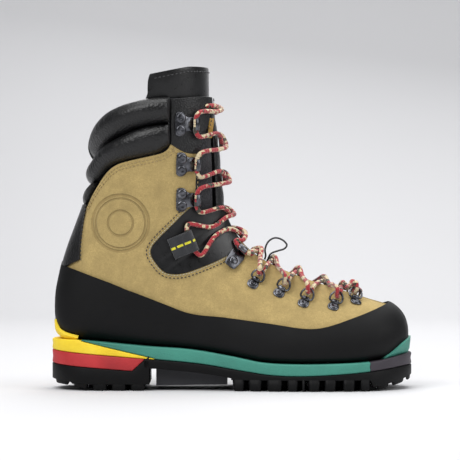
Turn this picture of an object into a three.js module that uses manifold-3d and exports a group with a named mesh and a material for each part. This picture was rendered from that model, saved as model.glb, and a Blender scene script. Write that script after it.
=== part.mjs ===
// A right-foot mountaineering boot with a crampon-compatible sole, laced up.
// Frame: +X to the toe, +Z up, -Y to the outer (lateral) side of the foot; millimetres.
// Every upper piece is a layer of one skin. The skin is a row of sections, each drawn between a
// point on the front line (nose, instep, shin) and a point on the back line (sole, heel, calf).
import * as THREE from "three";
import { mergeVertices } from "three/addons/utils/BufferGeometryUtils.js";
import Module from "manifold-3d";

const wasm = await Module();
wasm.setup();

// Overall sizes.
const bootLength = 306; // heel to toe over the outsole
const bootHeight = 272; // ground to the top of the tongue
const soleWidth = 110; // widest part of the outsole

// Layer thicknesses and clearances.
const gap = 0.3; // between pieces that touch on the real boot
const leather = 2.2;
const stiffener = 1.4;
const lining = 2.1;
const rand = 2.1;
const overlay = 1.7; // back strip, toe and heel bumpers
const welt = 3.4; // how far the sole stands out past the rand
const footbedThick = 4;
const boardThick = 1.8;

// Hardware and lace.
const laceRadius = 2;
const ringWire = 0.9;
const ringWidth = 10.4; // over the wire's centre line
const ringReach = 9; // from the hinge to the far bend of the wire
const ringLift = 38; // degrees that a ring stands up from the leather
const ringPlay = 1.25; // room round the wire inside the lace's bend
const plateThick = 1;
const rivetRadius = 4;
const hookLength = 10;
const webbing = 1.2;
const keeperRadius = 0.8; // cord of the keeper loop

// Sole.
const lugPitch = 15.5;
const lugGroove = 4.2;
const lugDepth = 9;
const lugWidth = 17;
const heelLugDepth = 5;
const archSheet = 8; // sole sheet left under the arch
const toeSpring = 8.5;

const ROUND = 20; // points round a skin section
const nominal = { length: 306, height: 272, width: 110 };
const X = (v) => (v * bootLength) / nominal.length;
const Z = (v) => (v * bootHeight) / nominal.height;
const Y = (v) => (v * soleWidth) / nominal.width;
const lerp = THREE.MathUtils.lerp;
const halfLength = bootLength / 2;

// ---------------------------------------------------------------- curves

// A smooth function through [x, value] pairs, level outside them.
function through(pairs) {
  const n = pairs.length;
  const slope = pairs.map((_, i) => {
    const a = pairs[Math.max(0, i - 1)];
    const b = pairs[Math.min(n - 1, i + 1)];
    return (b[1] - a[1]) / (b[0] - a[0]);
  });
  return (x) => {
    if (x <= pairs[0][0]) return pairs[0][1];
    if (x >= pairs[n - 1][0]) return pairs[n - 1][1];
    const i = pairs.findIndex((p) => p[0] > x) - 1;
    const h = pairs[i + 1][0] - pairs[i][0];
    const t = (x - pairs[i][0]) / h;
    const s = 1 - t;
    return (
      pairs[i][1] * s * s * (1 + 2 * t) + pairs[i + 1][1] * t * t * (3 - 2 * t)
      + h * t * s * (slope[i] * s - slope[i + 1] * t)
    );
  };
}
const sideLine = (points) => through(points.map(([x, z]) => [X(x), Z(z)]));

// Uniform Catmull-Rom through a list of numbers, at a knot position.
function spline(values, at) {
  const last = values.length - 1;
  const t = THREE.MathUtils.clamp(at, 0, last);
  const i = Math.min(Math.floor(t), last - 1);
  const f = t - i;
  const [b, c] = [values[i], values[i + 1]];
  const a = i > 0 ? values[i - 1] : 2 * b - c;
  const d = i + 2 <= last ? values[i + 2] : 2 * c - b;
  return b + 0.5 * f * (c - a + f * (2 * a - 5 * b + 4 * c - d + f * (3 * (b - c) + d - a)));
}

// Heights along the sole: top of the midsole, its underside, and the ground line.
const feather = sideLine([[-147, 43], [-129, 42.2], [-70, 36.8], [-35, 34.3], [0, 28.6], [26, 23.6],
  [58, 22.3], [93, 23], [119, 24.6], [135, 27.5], [146, 30]]);
const midsoleBase = sideLine([[-64, 26.2], [-27, 22.6], [12, 16.3], [32, 13.5], [58, 12.7], [93, 14.3],
  [119, 16.6], [146, 20]]);
const wedgeTop = sideLine([[-131, 42.3], [-129, 42], [-105, 35.9], [-64, 26.2]]);
const wedgeBase = sideLine([[-153, 33.3], [-73, 26.6], [-64, 26]]);
const brakeBase = sideLine([[-153, 21.8], [-84, 16.3]]);
const ground = sideLine([[108, 0], [122, 0.9], [136, 3.8], [153, toeSpring]]);

// Half widths of the sole either side of its middle line, at even steps from heel to toe.
const soleForm = {
  lateral: [39, 40.5, 41, 41, 43, 49, 55, 57, 55.5, 49].map(Y),
  medial: [38, 39, 37.5, 35, 36.5, 42, 48, 49, 46.5, 42].map(Y),
  middle: [0, 0, 0, 0, 0, 0.5, 2, 4, 6.5, 9].map(Y),
};
const toeRound = { from: 0.61, power: 2.3 };
const heelRound = { from: -0.765, power: 2.1 };

// The sole's two edges at x, brought in all round by inset.
function soleEdges(x, inset = 0) {
  const s = x / (halfLength - inset);
  const knot = ((THREE.MathUtils.clamp(s, -1, 1) + 1) / 2) * (soleForm.middle.length - 1);
  const round = s > 0 ? toeRound : heelRound;
  const past = Math.min(1, Math.max(0, (s - round.from) / (Math.sign(round.from) - round.from)));
  const end = (1 - past ** round.power) ** (1 / round.power);
  const middle = spline(soleForm.middle, knot);
  return {
    middle,
    lateral: middle - Math.max(0.2, spline(soleForm.lateral, knot) - inset) * end,
    medial: middle + Math.max(0.2, spline(soleForm.medial, knot) - inset) * end,
  };
}

// The skin's knots from the toe to the tongue's top. front: on the nose, instep and shin.
// back: under the foot (x only), then round the heel and up the calf.
const noseToInstep = [[147.3, 33], [148.2, 44], [147.2, 54], [143, 63], [134, 70.5], [118, 76.3],
  [96, 84], [71, 92], [50, 100], [32, 108.5], [19, 117], [10, 126], [3, 135]];
const shin = [[-1.5, 143], [-4, 150], [-5, 157], [-5.8, 166], [-6.7, 176], [-7.8, 188], [-9.2, 201],
  [-10.7, 215], [-12.5, 229], [-14.3, 242], [-15.8, 254], [-16.8, 264], [-17.5, 275]];
const underFoot = [146.2, 140, 132, 122, 110, 96, 76, 52, 25, -4, -36, -72, -106];
const calf = [[-137, 45.6], [-147, 55.5], [-148.2, 78], [-144.8, 98], [-139, 118], [-132, 137],
  [-125, 156], [-118.5, 176], [-114.5, 196], [-111.5, 214], [-109.5, 230], [-108, 244], [-107, 258]];
const skinLift = rand + 2 * gap; // the skin's underside above the midsole
const frontKnots = [...noseToInstep, ...shin].map(([x, z]) => [X(x), Z(z)]);
const backKnots = [
  ...underFoot.map((x) => [X(x), feather(X(x)) + skinLift]),
  ...calf.map(([x, z]) => [X(x), Z(z)]),
];
const LAST = frontKnots.length - 1;
const calfWidth = [37, 36.5, 36, 36, 36.5, 38, 40, 42, 43.5, 44.5, 45, 45.5, 46].map(Y);
const belly = [0.5, 0.55, 0.6, 0.68, 0.74, 0.78, 0.8, 0.82, 0.82, 0.8, 0.78, 0.74, 0.68, 0.64, 0.6, 0.57,
  0.54, 0.52, 0.5, 0.5, 0.5, 0.5, 0.5, 0.5, 0.5, 0.5];
const frontRound = [2, 2, 2, 2, 1.95, 1.85, 1.75, 1.65, 1.62, 1.62, 1.7, 1.8, 1.9, 2, 2.1, 2.1, 2.1, 2.1,
  2.1, 2.1, 2.1, 2.1, 2.1, 2.1, 2.1, 2.1];
const backRound = [4, 5, 6, 6, 6, 6, 6, 6, 6, 6, 6, 5.5, 4.6, 3.8, 3.2, 2.9, 2.7, 2.6, 2.5, 2.4, 2.3,
  2.3, 2.3, 2.3, 2.3, 2.3];

// ---------------------------------------------------------------- the skin

function lineAt(knots, at) {
  return new THREE.Vector2(spline(knots.map((k) => k[0]), at), spline(knots.map((k) => k[1]), at));
}

// One section: its two end points moved out by offset, its middle and its half widths.
function section(at, offset = 0) {
  const front = lineAt(frontKnots, at);
  const back = lineAt(backKnots, at);
  const across = back.clone().sub(front);
  const push = (knots, towards) => {
    const step = lineAt(knots, at + 0.05).sub(lineAt(knots, at - 0.05));
    const normal = new THREE.Vector2(-step.y, step.x).normalize();
    return normal.dot(towards) < 0 ? normal.negate() : normal;
  };
  front.addScaledVector(push(frontKnots, across.clone().negate()), offset);
  back.addScaledVector(push(backKnots, across), offset);
  const edges = soleEdges(lineAt(backKnots, at).x * (halfLength / (halfLength - welt - rand)));
  const shoe = THREE.MathUtils.smoothstep(at, 10.5, 13);
  const calfHalf = spline(calfWidth, at - underFoot.length);
  const inward = welt + rand + gap;
  const lasted = (width) => width - inward * Math.min(1, width / 30);
  const half = (width) => Math.max(0.6, lerp(lasted(width), calfHalf, shoe) + offset);
  return {
    front,
    back,
    middle: lerp(edges.middle, 0, shoe),
    lateral: half(edges.middle - edges.lateral),
    medial: half(edges.medial - edges.middle),
    belly: spline(belly, at),
    frontPower: 2 / spline(frontRound, at),
    backPower: 2 / spline(backRound, at),
  };
}

// A point of the skin: at is the knot position, turn runs from 0 on the front line to -1 (lateral)
// or 1 (medial) on the back line. Each quarter of a section is a superellipse.
function skin(at, turn, offset = 0) {
  const s = section(at, offset);
  const angle = Math.PI * Math.min(1, Math.abs(turn));
  const c = Math.cos(angle);
  const first = c >= 0;
  const power = first ? s.frontPower : s.backPower;
  const share = first
    ? s.belly * (1 - Math.abs(c) ** power)
    : s.belly + (1 - s.belly) * Math.abs(c) ** power;
  const reach = Math.max(0, Math.sin(angle)) ** power;
  const y = s.middle + (turn < 0 ? -s.lateral : s.medial) * reach;
  return new THREE.Vector3(lerp(s.front.x, s.back.x, share), y, lerp(s.front.y, s.back.y, share));
}

// The knot position and turn (0 to 1) of the skin point seen at x, z from the side.
function locate(x, z) {
  const side = (at) => {
    const f = lineAt(frontKnots, at);
    const b = lineAt(backKnots, at);
    return (b.x - f.x) * (z - f.y) - (b.y - f.y) * (x - f.x);
  };
  let low = 0;
  let high = LAST;
  const rising = side(LAST) > side(0);
  for (let i = 0; i < 40; i++) {
    const middle = (low + high) / 2;
    if (side(middle) > 0 === rising) high = middle;
    else low = middle;
  }
  const s = section(low);
  const across = s.back.clone().sub(s.front);
  const share = THREE.MathUtils.clamp(
    new THREE.Vector2(x, z).sub(s.front).dot(across) / across.lengthSq(), 0, 1);
  const turn = share < s.belly
    ? Math.acos((1 - share / s.belly) ** (1 / s.frontPower)) / Math.PI
    : 1 - Math.acos(((share - s.belly) / (1 - s.belly)) ** (1 / s.backPower)) / Math.PI;
  return { at: low, turn };
}

// A seat on the skin for hardware: side -1 is lateral. normal stands out of the leather and
// ahead is the direction seen from the side as (dx, dz), laid into the leather.
function seatOn(x, z, side, dx, dz, offset = 0) {
  const { at, turn } = locate(X(x), Z(z));
  // The layers are flat between their corners, so the seat lies between the nearest four.
  const next = stations.findIndex((s) => s > at);
  const [low, high] = [stations[next - 1], stations[next]];
  const rung = Math.floor((turn * ROUND) / 2);
  const corner = (s, r) => skin(s, (side * r * 2) / ROUND, offset);
  const [a, b] = [corner(low, rung), corner(low, rung + 1)];
  const [c, d] = [corner(high, rung), corner(high, rung + 1)];
  const [u, v] = [(turn * ROUND) / 2 - rung, (at - low) / (high - low)];
  const point = a.clone().lerp(b, u).lerp(c.clone().lerp(d, u), v);
  const along = c.lerp(d, u).sub(a.clone().lerp(b, u));
  const round = b.sub(a);
  const normal = along.cross(round).normalize();
  if (normal.y * side < 0) normal.negate();
  const ahead = new THREE.Vector3(dx, -(normal.x * dx + normal.z * dz) / normal.y, dz).normalize();
  const up = normal.clone().cross(ahead).multiplyScalar(-side);
  return { at, turn: side * turn, point, normal, ahead, up, side };
}

// ---------------------------------------------------------------- solids

// A closed solid from a three.js geometry or from points and triangles.
function solidOf(geometry) {
  const bare = new THREE.BufferGeometry();
  const loose = geometry.index ? geometry.toNonIndexed() : geometry;
  bare.setAttribute("position", loose.getAttribute("position"));
  const merged = mergeVertices(bare, 1e-4);
  const kept = [];
  const index = merged.index.array;
  for (let i = 0; i < index.length; i += 3) {
    const [a, b, c] = [index[i], index[i + 1], index[i + 2]];
    if (a !== b && b !== c && a !== c) kept.push(a, b, c);
  }
  return new wasm.Manifold(new wasm.Mesh({
    numProp: 3,
    vertProperties: merged.attributes.position.array,
    triVerts: new Uint32Array(kept),
  }));
}

function geometryOf(solid) {
  const mesh = solid.getMesh();
  const geometry = new THREE.BufferGeometry();
  geometry.setAttribute("position", new THREE.BufferAttribute(mesh.vertProperties, 3));
  geometry.setIndex(new THREE.BufferAttribute(mesh.triVerts, 1));
  return geometry.toNonIndexed();
}

// A closed solid through rings of points, each ring the same length, with flat fans at the ends.
function loft(rings) {
  const count = rings[0].length;
  const points = rings.flat();
  const triangles = [];
  for (let i = 0; i + 1 < rings.length; i++) {
    for (let j = 0; j < count; j++) {
      const k = (j + 1) % count;
      const [a, b, c, d] = [i * count + j, i * count + k, (i + 1) * count + j, (i + 1) * count + k];
      triangles.push(a, b, c, b, d, c);
    }
  }
  const capped = (ring, first, flip) => {
    const centre = points.length;
    points.push(ring.reduce((sum, p) => sum.add(p), new THREE.Vector3()).divideScalar(count));
    for (let j = 0; j < count; j++) {
      const k = (j + 1) % count;
      triangles.push(...(flip ? [first + k, first + j, centre] : [first + j, first + k, centre]));
    }
  };
  capped(rings[0], 0, true);
  capped(rings[rings.length - 1], (rings.length - 1) * count, false);
  const geometry = new THREE.BufferGeometry().setFromPoints(points);
  geometry.setIndex(triangles);
  const made = solidOf(geometry);
  if (made.volume() > 0) return made;
  geometry.setIndex(triangles.reverse());
  return solidOf(geometry);
}

// The whole skin as one solid, moved out by offset, from a knot position to the top. Every layer
// has its corners at the same stations, so layers lie face to face.
const stations = [0, 1, 2, 3, 4, 5, 6, 7, 8, 9, 10, 11, 12, 13, 14, 16, 18, 20, 22, LAST];
function sock(offset, from = 0, extra = 0) {
  const chosen = [from, ...stations.filter((at) => at > from + 0.2)];
  const rings = chosen.map((at) => (
    Array.from({ length: ROUND }, (_, j) => skin(at, (2 * j) / ROUND - 1, offset))
  ));
  if (extra) rings.push(rings[rings.length - 1].map((p) => p.clone().setZ(p.z + extra)));
  return loft(rings);
}

// A layer of the skin between two offsets, closed at the toe ahead of where its hollow starts.
function layer(inner, outer, hollowFrom = 0, solidFrom = 0) {
  return sock(outer, solidFrom).subtract(sock(inner, hollowFrom, 5));
}

// A straight slab seen from the side: points are [x, z], and it runs across from y0 to y1.
function slab(points, y0 = -100, y1 = 100) {
  const shape = new THREE.Shape(points.map(([x, z]) => new THREE.Vector2(X(x), Z(z))));
  const geometry = new THREE.ExtrudeGeometry(shape, { depth: y1 - y0, bevelEnabled: false });
  return solidOf(geometry.rotateX(Math.PI / 2).translate(0, y1, 0));
}

// A padded band round the back, between two lines seen from the side and both given as
// functions from 0 at the back to 1 at the front.
function roll(lower, upper, outer, inner, puff, across = 5, along = 16) {
  const rings = [];
  for (let i = 0; i <= along; i++) {
    const s = (2 * i) / along - 1;
    const [lx, lz] = lower(Math.abs(s));
    const [ux, uz] = upper(Math.abs(s));
    const ring = [];
    for (let j = 0; j <= across; j++) {
      const k = j / across;
      const found = locate(X(lerp(lx, ux, k)), Z(lerp(lz, uz, k)));
      const turn = (Math.sign(s) || 1) * Math.min(found.turn, 1 - 0.1 * Math.abs(s));
      ring.push([found.at, turn, outer + puff * Math.sin(Math.PI * lerp(0.08, 0.92, k))]);
    }
    const far = ring.map(([at, turn, depth]) => skin(at, turn, depth));
    const near = ring.map(([at, turn]) => skin(at, turn, inner)).reverse();
    rings.push([...far, ...near]);
  }
  return loft(rings);
}
const between = (points) => (s) => {
  const at = s * s * (1.7 - 0.7 * s) * (points.length - 1);
  return [spline(points.map((p) => p[0]), at), spline(points.map((p) => p[1]), at)];
};

// A flat layer of the sole: from x0 to x1, inset from the edge, between two height lines, with
// a section at each of the corners as well.
function soleLayer(x0, x1, inset, top, base, steps = 22, corners = []) {
  const even = Array.from({ length: steps + 1 }, (_, i) => (
    lerp(x0, x1, 0.5 - 0.5 * Math.cos((Math.PI * i) / steps))
  ));
  const kept = even.filter((x) => !corners.some((c) => Math.abs(c - x) < 1.5));
  const rings = [...kept, ...corners].sort((a, b) => a - b).map((x) => {
    const edge = soleEdges(x, inset);
    const [high, low] = [top(x), base(x)];
    return [
      new THREE.Vector3(x, edge.lateral, low), new THREE.Vector3(x, edge.medial, low),
      new THREE.Vector3(x, edge.medial, high), new THREE.Vector3(x, edge.lateral, high),
    ];
  });
  return loft(rings);
}

// A tread block between x0 and x1, on the edge of the sole or, with from, further in.
function lug(x0, x1, side, from, width, low, high) {
  const taper = 1.1;
  const edge = (x) => (side < 0 ? soleEdges(x).lateral : soleEdges(x).medial);
  const ring = (z, t) => {
    const outer = (x) => edge(x) - side * (from + t);
    const [a, b] = [x0 + t, x1 - t];
    return [
      new THREE.Vector3(a, outer(a), z(a)), new THREE.Vector3(b, outer(b), z(b)),
      new THREE.Vector3(b, outer(b) - side * (width - 2 * t), z(b)),
      new THREE.Vector3(a, outer(a) - side * (width - 2 * t), z(a)),
    ];
  };
  return loft([ring(low, taper), ring(high, 0)]);
}

// A smooth line through points, with few stations on short spans and more on long ones.
class Route extends THREE.Curve {
  constructor(points, longSpan, cuts) {
    super();
    const curve = new THREE.CatmullRomCurve3(points, false, "centripetal");
    this.marks = [curve.getPoint(0)];
    for (let i = 0; i + 1 < points.length; i++) {
      const parts = points[i].distanceTo(points[i + 1]) > longSpan ? cuts : 1;
      for (let j = 1; j <= parts; j++) {
        this.marks.push(curve.getPoint((i + j / parts) / (points.length - 1)));
      }
    }
    this.steps = this.marks.length - 1;
  }
  getPoint(t) {
    const at = THREE.MathUtils.clamp(t, 0, 1) * this.steps;
    const i = Math.min(Math.floor(at), this.steps - 1);
    return this.marks[i].clone().lerp(this.marks[i + 1], at - i);
  }
  getPointAt(t) {
    return this.getPoint(t);
  }
  getTangentAt(t) {
    const step = 0.5 / this.steps;
    return this.getPoint(t + step).sub(this.getPoint(t - step)).normalize();
  }
}

const circle = (radius, sides) => new THREE.Shape(Array.from({ length: sides }, (_, i) => {
  const angle = (2 * Math.PI * i) / sides;
  return new THREE.Vector2(Math.cos(angle), Math.sin(angle)).multiplyScalar(radius);
}));

// A round tube along a route, closed at both ends.
function tube(route, radius, sides) {
  const options = { steps: route.steps, extrudePath: route, bevelEnabled: false };
  return solidOf(new THREE.ExtrudeGeometry(circle(radius, sides), options));
}

// Takes a geometry drawn with x = ahead, y = up and z = normal onto a seat.
function onto(geometry, seat, lift = 0) {
  const { normal, ahead, side } = seat;
  const up = normal.clone().cross(ahead);
  const basis = new THREE.Matrix4().makeBasis(ahead, up, normal);
  basis.setPosition(seat.point.clone().addScaledVector(normal, lift));
  return geometry.applyMatrix4(basis);
}

function rivet(x, y, radius = rivetRadius) {
  const dome = [[0, -0.2], [radius, -0.2], [radius, 0.5], [0, 1.5]];
  return new THREE.LatheGeometry(dome.map(([r, h]) => new THREE.Vector2(r, h)), 7)
    .rotateX(Math.PI / 2)
    .translate(x, y, plateThick);
}

function plate(outline, depth = plateThick) {
  const shape = new THREE.Shape(outline.map(([x, y]) => new THREE.Vector2(x, y)));
  return new THREE.ExtrudeGeometry(shape, { depth, bevelEnabled: false });
}

// ---------------------------------------------------------------- the model

const boot = new THREE.Group();
const finish = {
  suede: new THREE.MeshStandardMaterial({ color: "#b49a66", roughness: 0.95 }),
  blackLeather: new THREE.MeshStandardMaterial({ color: "#1c1c1e", roughness: 0.45 }),
  randRubber: new THREE.MeshStandardMaterial({ color: "#242426", roughness: 0.7 }),
  treadRubber: new THREE.MeshStandardMaterial({ color: "#19191b", roughness: 0.8 }),
  tealFoam: new THREE.MeshStandardMaterial({ color: "#4b9184", roughness: 0.75 }),
  yellowFoam: new THREE.MeshStandardMaterial({ color: "#f2d43c", roughness: 0.7 }),
  redFoam: new THREE.MeshStandardMaterial({ color: "#c23c3a", roughness: 0.7 }),
  greyPlastic: new THREE.MeshStandardMaterial({ color: "#4a464a", roughness: 0.6 }),
  boardFibre: new THREE.MeshStandardMaterial({ color: "#3a3a3c", roughness: 0.8 }),
  liningCloth: new THREE.MeshStandardMaterial({ color: "#2c2c30", roughness: 0.95 }),
  metal: new THREE.MeshStandardMaterial({ color: "#3b3b40", roughness: 0.3, metalness: 1 }),
  webbingCloth: new THREE.MeshStandardMaterial({ color: "#242428", roughness: 0.85 }),
  laceBraid: new THREE.MeshStandardMaterial({ color: "#c8a890", roughness: 0.85 }),
};

const fineness = 0.06; // corners flatter than this are left out
function add(name, solid, material) {
  const mesh = new THREE.Mesh(geometryOf(solid.simplify(fineness)), material);
  mesh.name = name;
  boot.add(mesh);
  return mesh;
}

// Sole unit -------------------------------------------------------

const tip = halfLength - 0.1;
const wedgeEnd = X(-64);
const brakeEnd = X(-73);
const insertFrom = X(116);
const below = (line, drop = gap) => (x) => line(x) - drop;

// What the brake rests on: the heel block, whose end ramps up to the wedge.
const rampFoot = X(-84);
function brakeSeat(x) {
  if (x < rampFoot) return brakeBase(x);
  return lerp(brakeBase(rampFoot), wedgeBase(brakeEnd), (x - rampFoot) / (brakeEnd - rampFoot));
}

function outsole() {
  const top = (x) => {
    if (x < brakeEnd) return brakeSeat(x) - gap;
    if (x < wedgeEnd) return wedgeBase(x) - gap;
    return midsoleBase(x) - gap;
  };
  const heelFront = X(-70);
  const foreBack = X(-1);
  const sheet = (x) => {
    if (x < heelFront) return heelLugDepth;
    if (x < foreBack) return midsoleBase(Math.max(x, wedgeEnd)) - archSheet;
    return ground(x) + lugDepth - THREE.MathUtils.smoothstep(x, X(110), X(150)) * 2;
  };
  const cuts = [-tip, X(-150), X(-146), X(-140), X(-130), X(-115), X(-95), rampFoot, brakeEnd,
    heelFront - 0.2,
    heelFront, wedgeEnd, X(-50), X(-25), foreBack - 0.2, foreBack, X(18), X(38), X(58), X(78), X(96),
    X(110),
    X(122), X(132), X(140), X(146), X(150), tip];
  let body = loft(cuts.map((x) => {
    const edge = soleEdges(x);
    return [
      new THREE.Vector3(x, edge.lateral, sheet(x)), new THREE.Vector3(x, edge.medial, sheet(x)),
      new THREE.Vector3(x, edge.medial, top(x)), new THREE.Vector3(x, edge.lateral, top(x)),
    ];
  }));
  const high = (x) => sheet(x) + 1.5;
  const blocks = [];
  const count = Math.floor((X(116) - foreBack) / lugPitch);
  for (const side of [-1, 1]) {
    for (let i = 0; i < count; i++) {
      const x0 = foreBack + i * lugPitch;
      const x1 = x0 + lugPitch - lugGroove;
      blocks.push(lug(x0 + 0.3, x1, side, 0, lugWidth, ground, high));
      if (i > 0) blocks.push(lug(x0 - 2, x1 - 2, side, lugWidth + 4, lugWidth - 2, ground, high));
    }
    const toeFrom = foreBack + count * lugPitch;
    blocks.push(lug(toeFrom, X(147), side, 0, 15, ground, high));
    const heelPitch = (heelFront - X(-150)) / 5;
    for (let i = 0; i < 5; i++) {
      const x0 = X(-150) + i * heelPitch;
      blocks.push(lug(x0, x0 + heelPitch - 2.4, side, 0, lugWidth, () => 0, high));
    }
  }
  for (const block of blocks) body = body.add(block);
  return body;
}

add("outsole", outsole(), finish.treadRubber);

const shankFrom = X(-64);
const shankTo = X(-4);
add("arch_shank", soleLayer(shankFrom, shankTo, 11, (x) => midsoleBase(x) - archSheet - gap,
  (x) => lerp(Z(3.5), Z(4.5), (x - shankFrom) / (shankTo - shankFrom)), 1, [X(-50), X(-25)]),
  finish.greyPlastic);

add("heel_brake", soleLayer(-tip, brakeEnd - 1, 0, below(wedgeBase), brakeSeat, 16, [rampFoot]),
  finish.redFoam);

add("heel_wedge", soleLayer(-tip, wedgeEnd - 1.5, 0,
  (x) => Math.min(feather(x), wedgeTop(x)), wedgeBase, 20),
  finish.yellowFoam);

const midsoleFrom = X(-127);
const midsoleUnder = (x) => (x < wedgeEnd ? wedgeTop(x) + gap : midsoleBase(x));
const midsoleBody = soleLayer(midsoleFrom, insertFrom - gap, 0, feather, midsoleUnder, 24);
const insertWidth = 6;
const midsoleToe = soleLayer(insertFrom - 8, halfLength - insertWidth - gap - 0.4, insertWidth + gap, feather,
  midsoleBase, 10);
add("midsole", midsoleBody.add(midsoleToe), finish.tealFoam);

add("toe_insert", soleLayer(insertFrom, tip, 0, feather, midsoleBase, 12)
  .subtract(soleLayer(insertFrom - 10, halfLength - insertWidth, insertWidth, (x) => feather(x) + 2,
    (x) => midsoleBase(x) - 2, 12)), finish.greyPlastic);

// Upper layers ----------------------------------------------------

const randLine = [[-144.5, 104.6], [-131.8, 100.9], [-102.9, 90.6], [-85.9, 84.2], [-57, 73.1],
  [-35.7, 65.5],
  [-6, 61.9], [31.5, 56.6], [62, 52.4], [78.2, 53.6], [102, 60.4], [119, 65.8], [134.3, 71.4]];
const heelCut = [[-156, 62], [-149, 60], [-136.5, 42.5], [-130, 20], [-156, 20]];
const randZone = slab([[-160, 20], ...[[-160, 104.6], ...randLine, [160, 71.4]], [160, 20]])
  .subtract(slab(heelCut));
// The part of a layer under the foot, behind its lasted margin.
const underfoot = (margin, high) => soleLayer(X(-150) + margin, X(148) - margin, margin,
  (x) => feather(x) + high,
  (x) => feather(x) - 1, 14);
const randInner = gap;
const randOuter = gap + rand;
const randMargin = 16;
add("rubber_rand", layer(randInner, randOuter).intersect(randZone)
  .subtract(underfoot(randMargin, skinLift + 1)), finish.randRubber);

// Suede: the upper edge, seen from the side, and the front edge on the shaft.
const suedeTop = [[-123, 152.5], [-118.5, 162.5], [-113.6, 170.9], [-108.5, 178.6], [-102.9, 185],
  [-96.5, 189.2],
  [-89.8, 191.4], [-80, 193.8], [-70.3, 195.8], [-59.5, 198.5], [-54, 201.8], [-51.3, 206]];
const facingBase = [[-51, 205.6], [-49.6, 203.5], [-42.2, 200.6], [-35, 198.9], [-27, 198.2]];
const shaftFront = [[-28.5, 198], [-30.5, 182], [-31.2, 165], [-34.5, 152.5]];
const flexEdge = [[-35.7, 151.3], [-42.2, 147], [-50.8, 138.3], [-61.6, 127.5], [-67.6, 119.9],
  [-68.3, 113.4],
  [-63.8, 105.8], [-57.3, 99.3], [-48.6, 97.4], [-37.7, 98.8], [-21.5, 104.6], [-8.5, 110.2], [-1, 115.5]];
const flexFront = [12, 133];
const suedeZone = slab([[-160, 150.5],
  [-135, 151.5], ...suedeTop, ...facingBase.slice(1), ...shaftFront, ...flexEdge,
  flexFront, [30, 140], [170, 140], [170, 0], [-160, 0]]);

// The lace opening over the instep, and how wide the tongue is under it.
const throatHalf = 11;
const throatFrom = 112;
const throatMiddle = Y(4);
const throat = slab([[throatFrom, 60], [throatFrom, 140], [-60, 290], [-60, 215], [-25, 160],
  [-12, 140], [14, 108],
  [60, 80]], throatMiddle - throatHalf, throatMiddle + throatHalf);
const leatherLayer = layer(-leather, 0, 1);
const suede = leatherLayer.intersect(suedeZone).subtract(throat)
  .subtract(underfoot(randMargin, skinLift + leather + 1));
const vampLine = 66;
const vampZone = slab([[vampLine, 0], [170, 0], [170, 150], [vampLine, 150]]);
const quarterZone = (side) => slab([[-160, 0], [vampLine - gap, 0], [vampLine - gap, 150], [-60, 290],
  [-160, 290]],
  side < 0 ? -100 : gap / 2, side < 0 ? -gap / 2 : 100);
add("vamp", suede.intersect(vampZone), finish.suede);
add("quarter_lateral", suede.intersect(quarterZone(-1)), finish.suede);
add("quarter_medial", suede.intersect(quarterZone(1)), finish.suede);

const shrink = (points, by) => {
  const cx = points.reduce((s, p) => s + p[0], 0) / points.length;
  const cz = points.reduce((s, p) => s + p[1], 0) / points.length;
  return points.map(([x, z]) => {
    const d = Math.hypot(x - cx, z - cz);
    return [cx + (x - cx) * (1 - by / d), cz + (z - cz) * (1 - by / d)];
  });
};
const half = (side) => (side < 0 ? [-100, throatMiddle - throatHalf] : [throatMiddle + throatHalf, 100]);
const flexShape = shrink([...flexEdge, flexFront, [-10, 165], [-28, 162], [-33.6, 152.7]], 0.7);
const facingShape = shrink([[-51.3, 206], [-51.3, 243.6], [-40, 245], [-22.6, 246.8], [-17.2, 246],
  [-17.5, 240],
  [-20, 225], [-26, 209.4], [-27, 198.6], [-35, 198.9], [-42.2, 200.8], [-50.2, 204]], 0.5);
for (const [name, side] of [["lateral", -1], ["medial", 1]]) {
  add("flex_panel_" + name, leatherLayer.intersect(slab(flexShape, ...half(side))), finish.blackLeather);
  add("hook_facing_" + name, leatherLayer.intersect(slab(facingShape, ...half(side))), finish.blackLeather);
}

const stripEdge = [[-130, 99.5], [-129.3, 115], [-127, 132], [-123.6, 150], [-123, 155.2]];
add("back_strip", layer(gap, gap + overlay).intersect(slab([[-160, 105.4], [-143.8, 105.4],
  [-132, 101.7], ...stripEdge.slice(1), [-150, 156.5], [-160, 156.5]])), finish.blackLeather);

const stiffenerLayer = layer(-leather - gap - stiffener, -leather - gap, 3, 2);
add("heel_counter", stiffenerLayer.intersect(slab([[-160, 50], [-92, 48], [-84, 60], [-96, 92], [-120, 108],
  [-160, 112]])), finish.boardFibre);
add("toe_stiffener", stiffenerLayer.intersect(slab([[122, 36], [160, 36], [160, 80],
  [118, 80]])), finish.boardFibre);

// The tongue lies under the lace opening, and the lining is cut away round it.
const tongueThick = 3;
const tongueOuter = -leather - gap;
const tongueInner = tongueOuter - tongueThick;
const tongueHalf = throatHalf + 7;
const tongueSide = (extra) => slab([[104 + extra, 60], [104 + extra, 130], [30, 200], [20, 244 + extra],
  [-80, 244 + extra], [-26 - extra, 165], [-26 - extra, 120], [60, 60]],
  throatMiddle - tongueHalf - extra, throatMiddle + tongueHalf + extra);
const tongueLayer = sock(tongueOuter, 3).subtract(sock(tongueInner, 4, 5));
add("tongue", tongueLayer.intersect(tongueSide(0)), finish.blackLeather);

const liningOuter = -leather - stiffener - 2 * gap;
const liningInner = liningOuter - lining;
const rim = [[-118, 214], [-116, 220], [-108, 229], [-98, 236], [-84, 240.5], [-70, 242.8],
  [-48, 244.5], [-20, 244.5]];
const linedZone = slab([[-160, 0], [170, 0], [170, 150], [30, 150], [0, 244.5], ...rim.slice().reverse(),
  [-160, 214]]);
add("lining", layer(liningInner, liningOuter, 4, 3.1).intersect(linedZone).subtract(tongueSide(gap)),
  finish.liningCloth);

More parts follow.
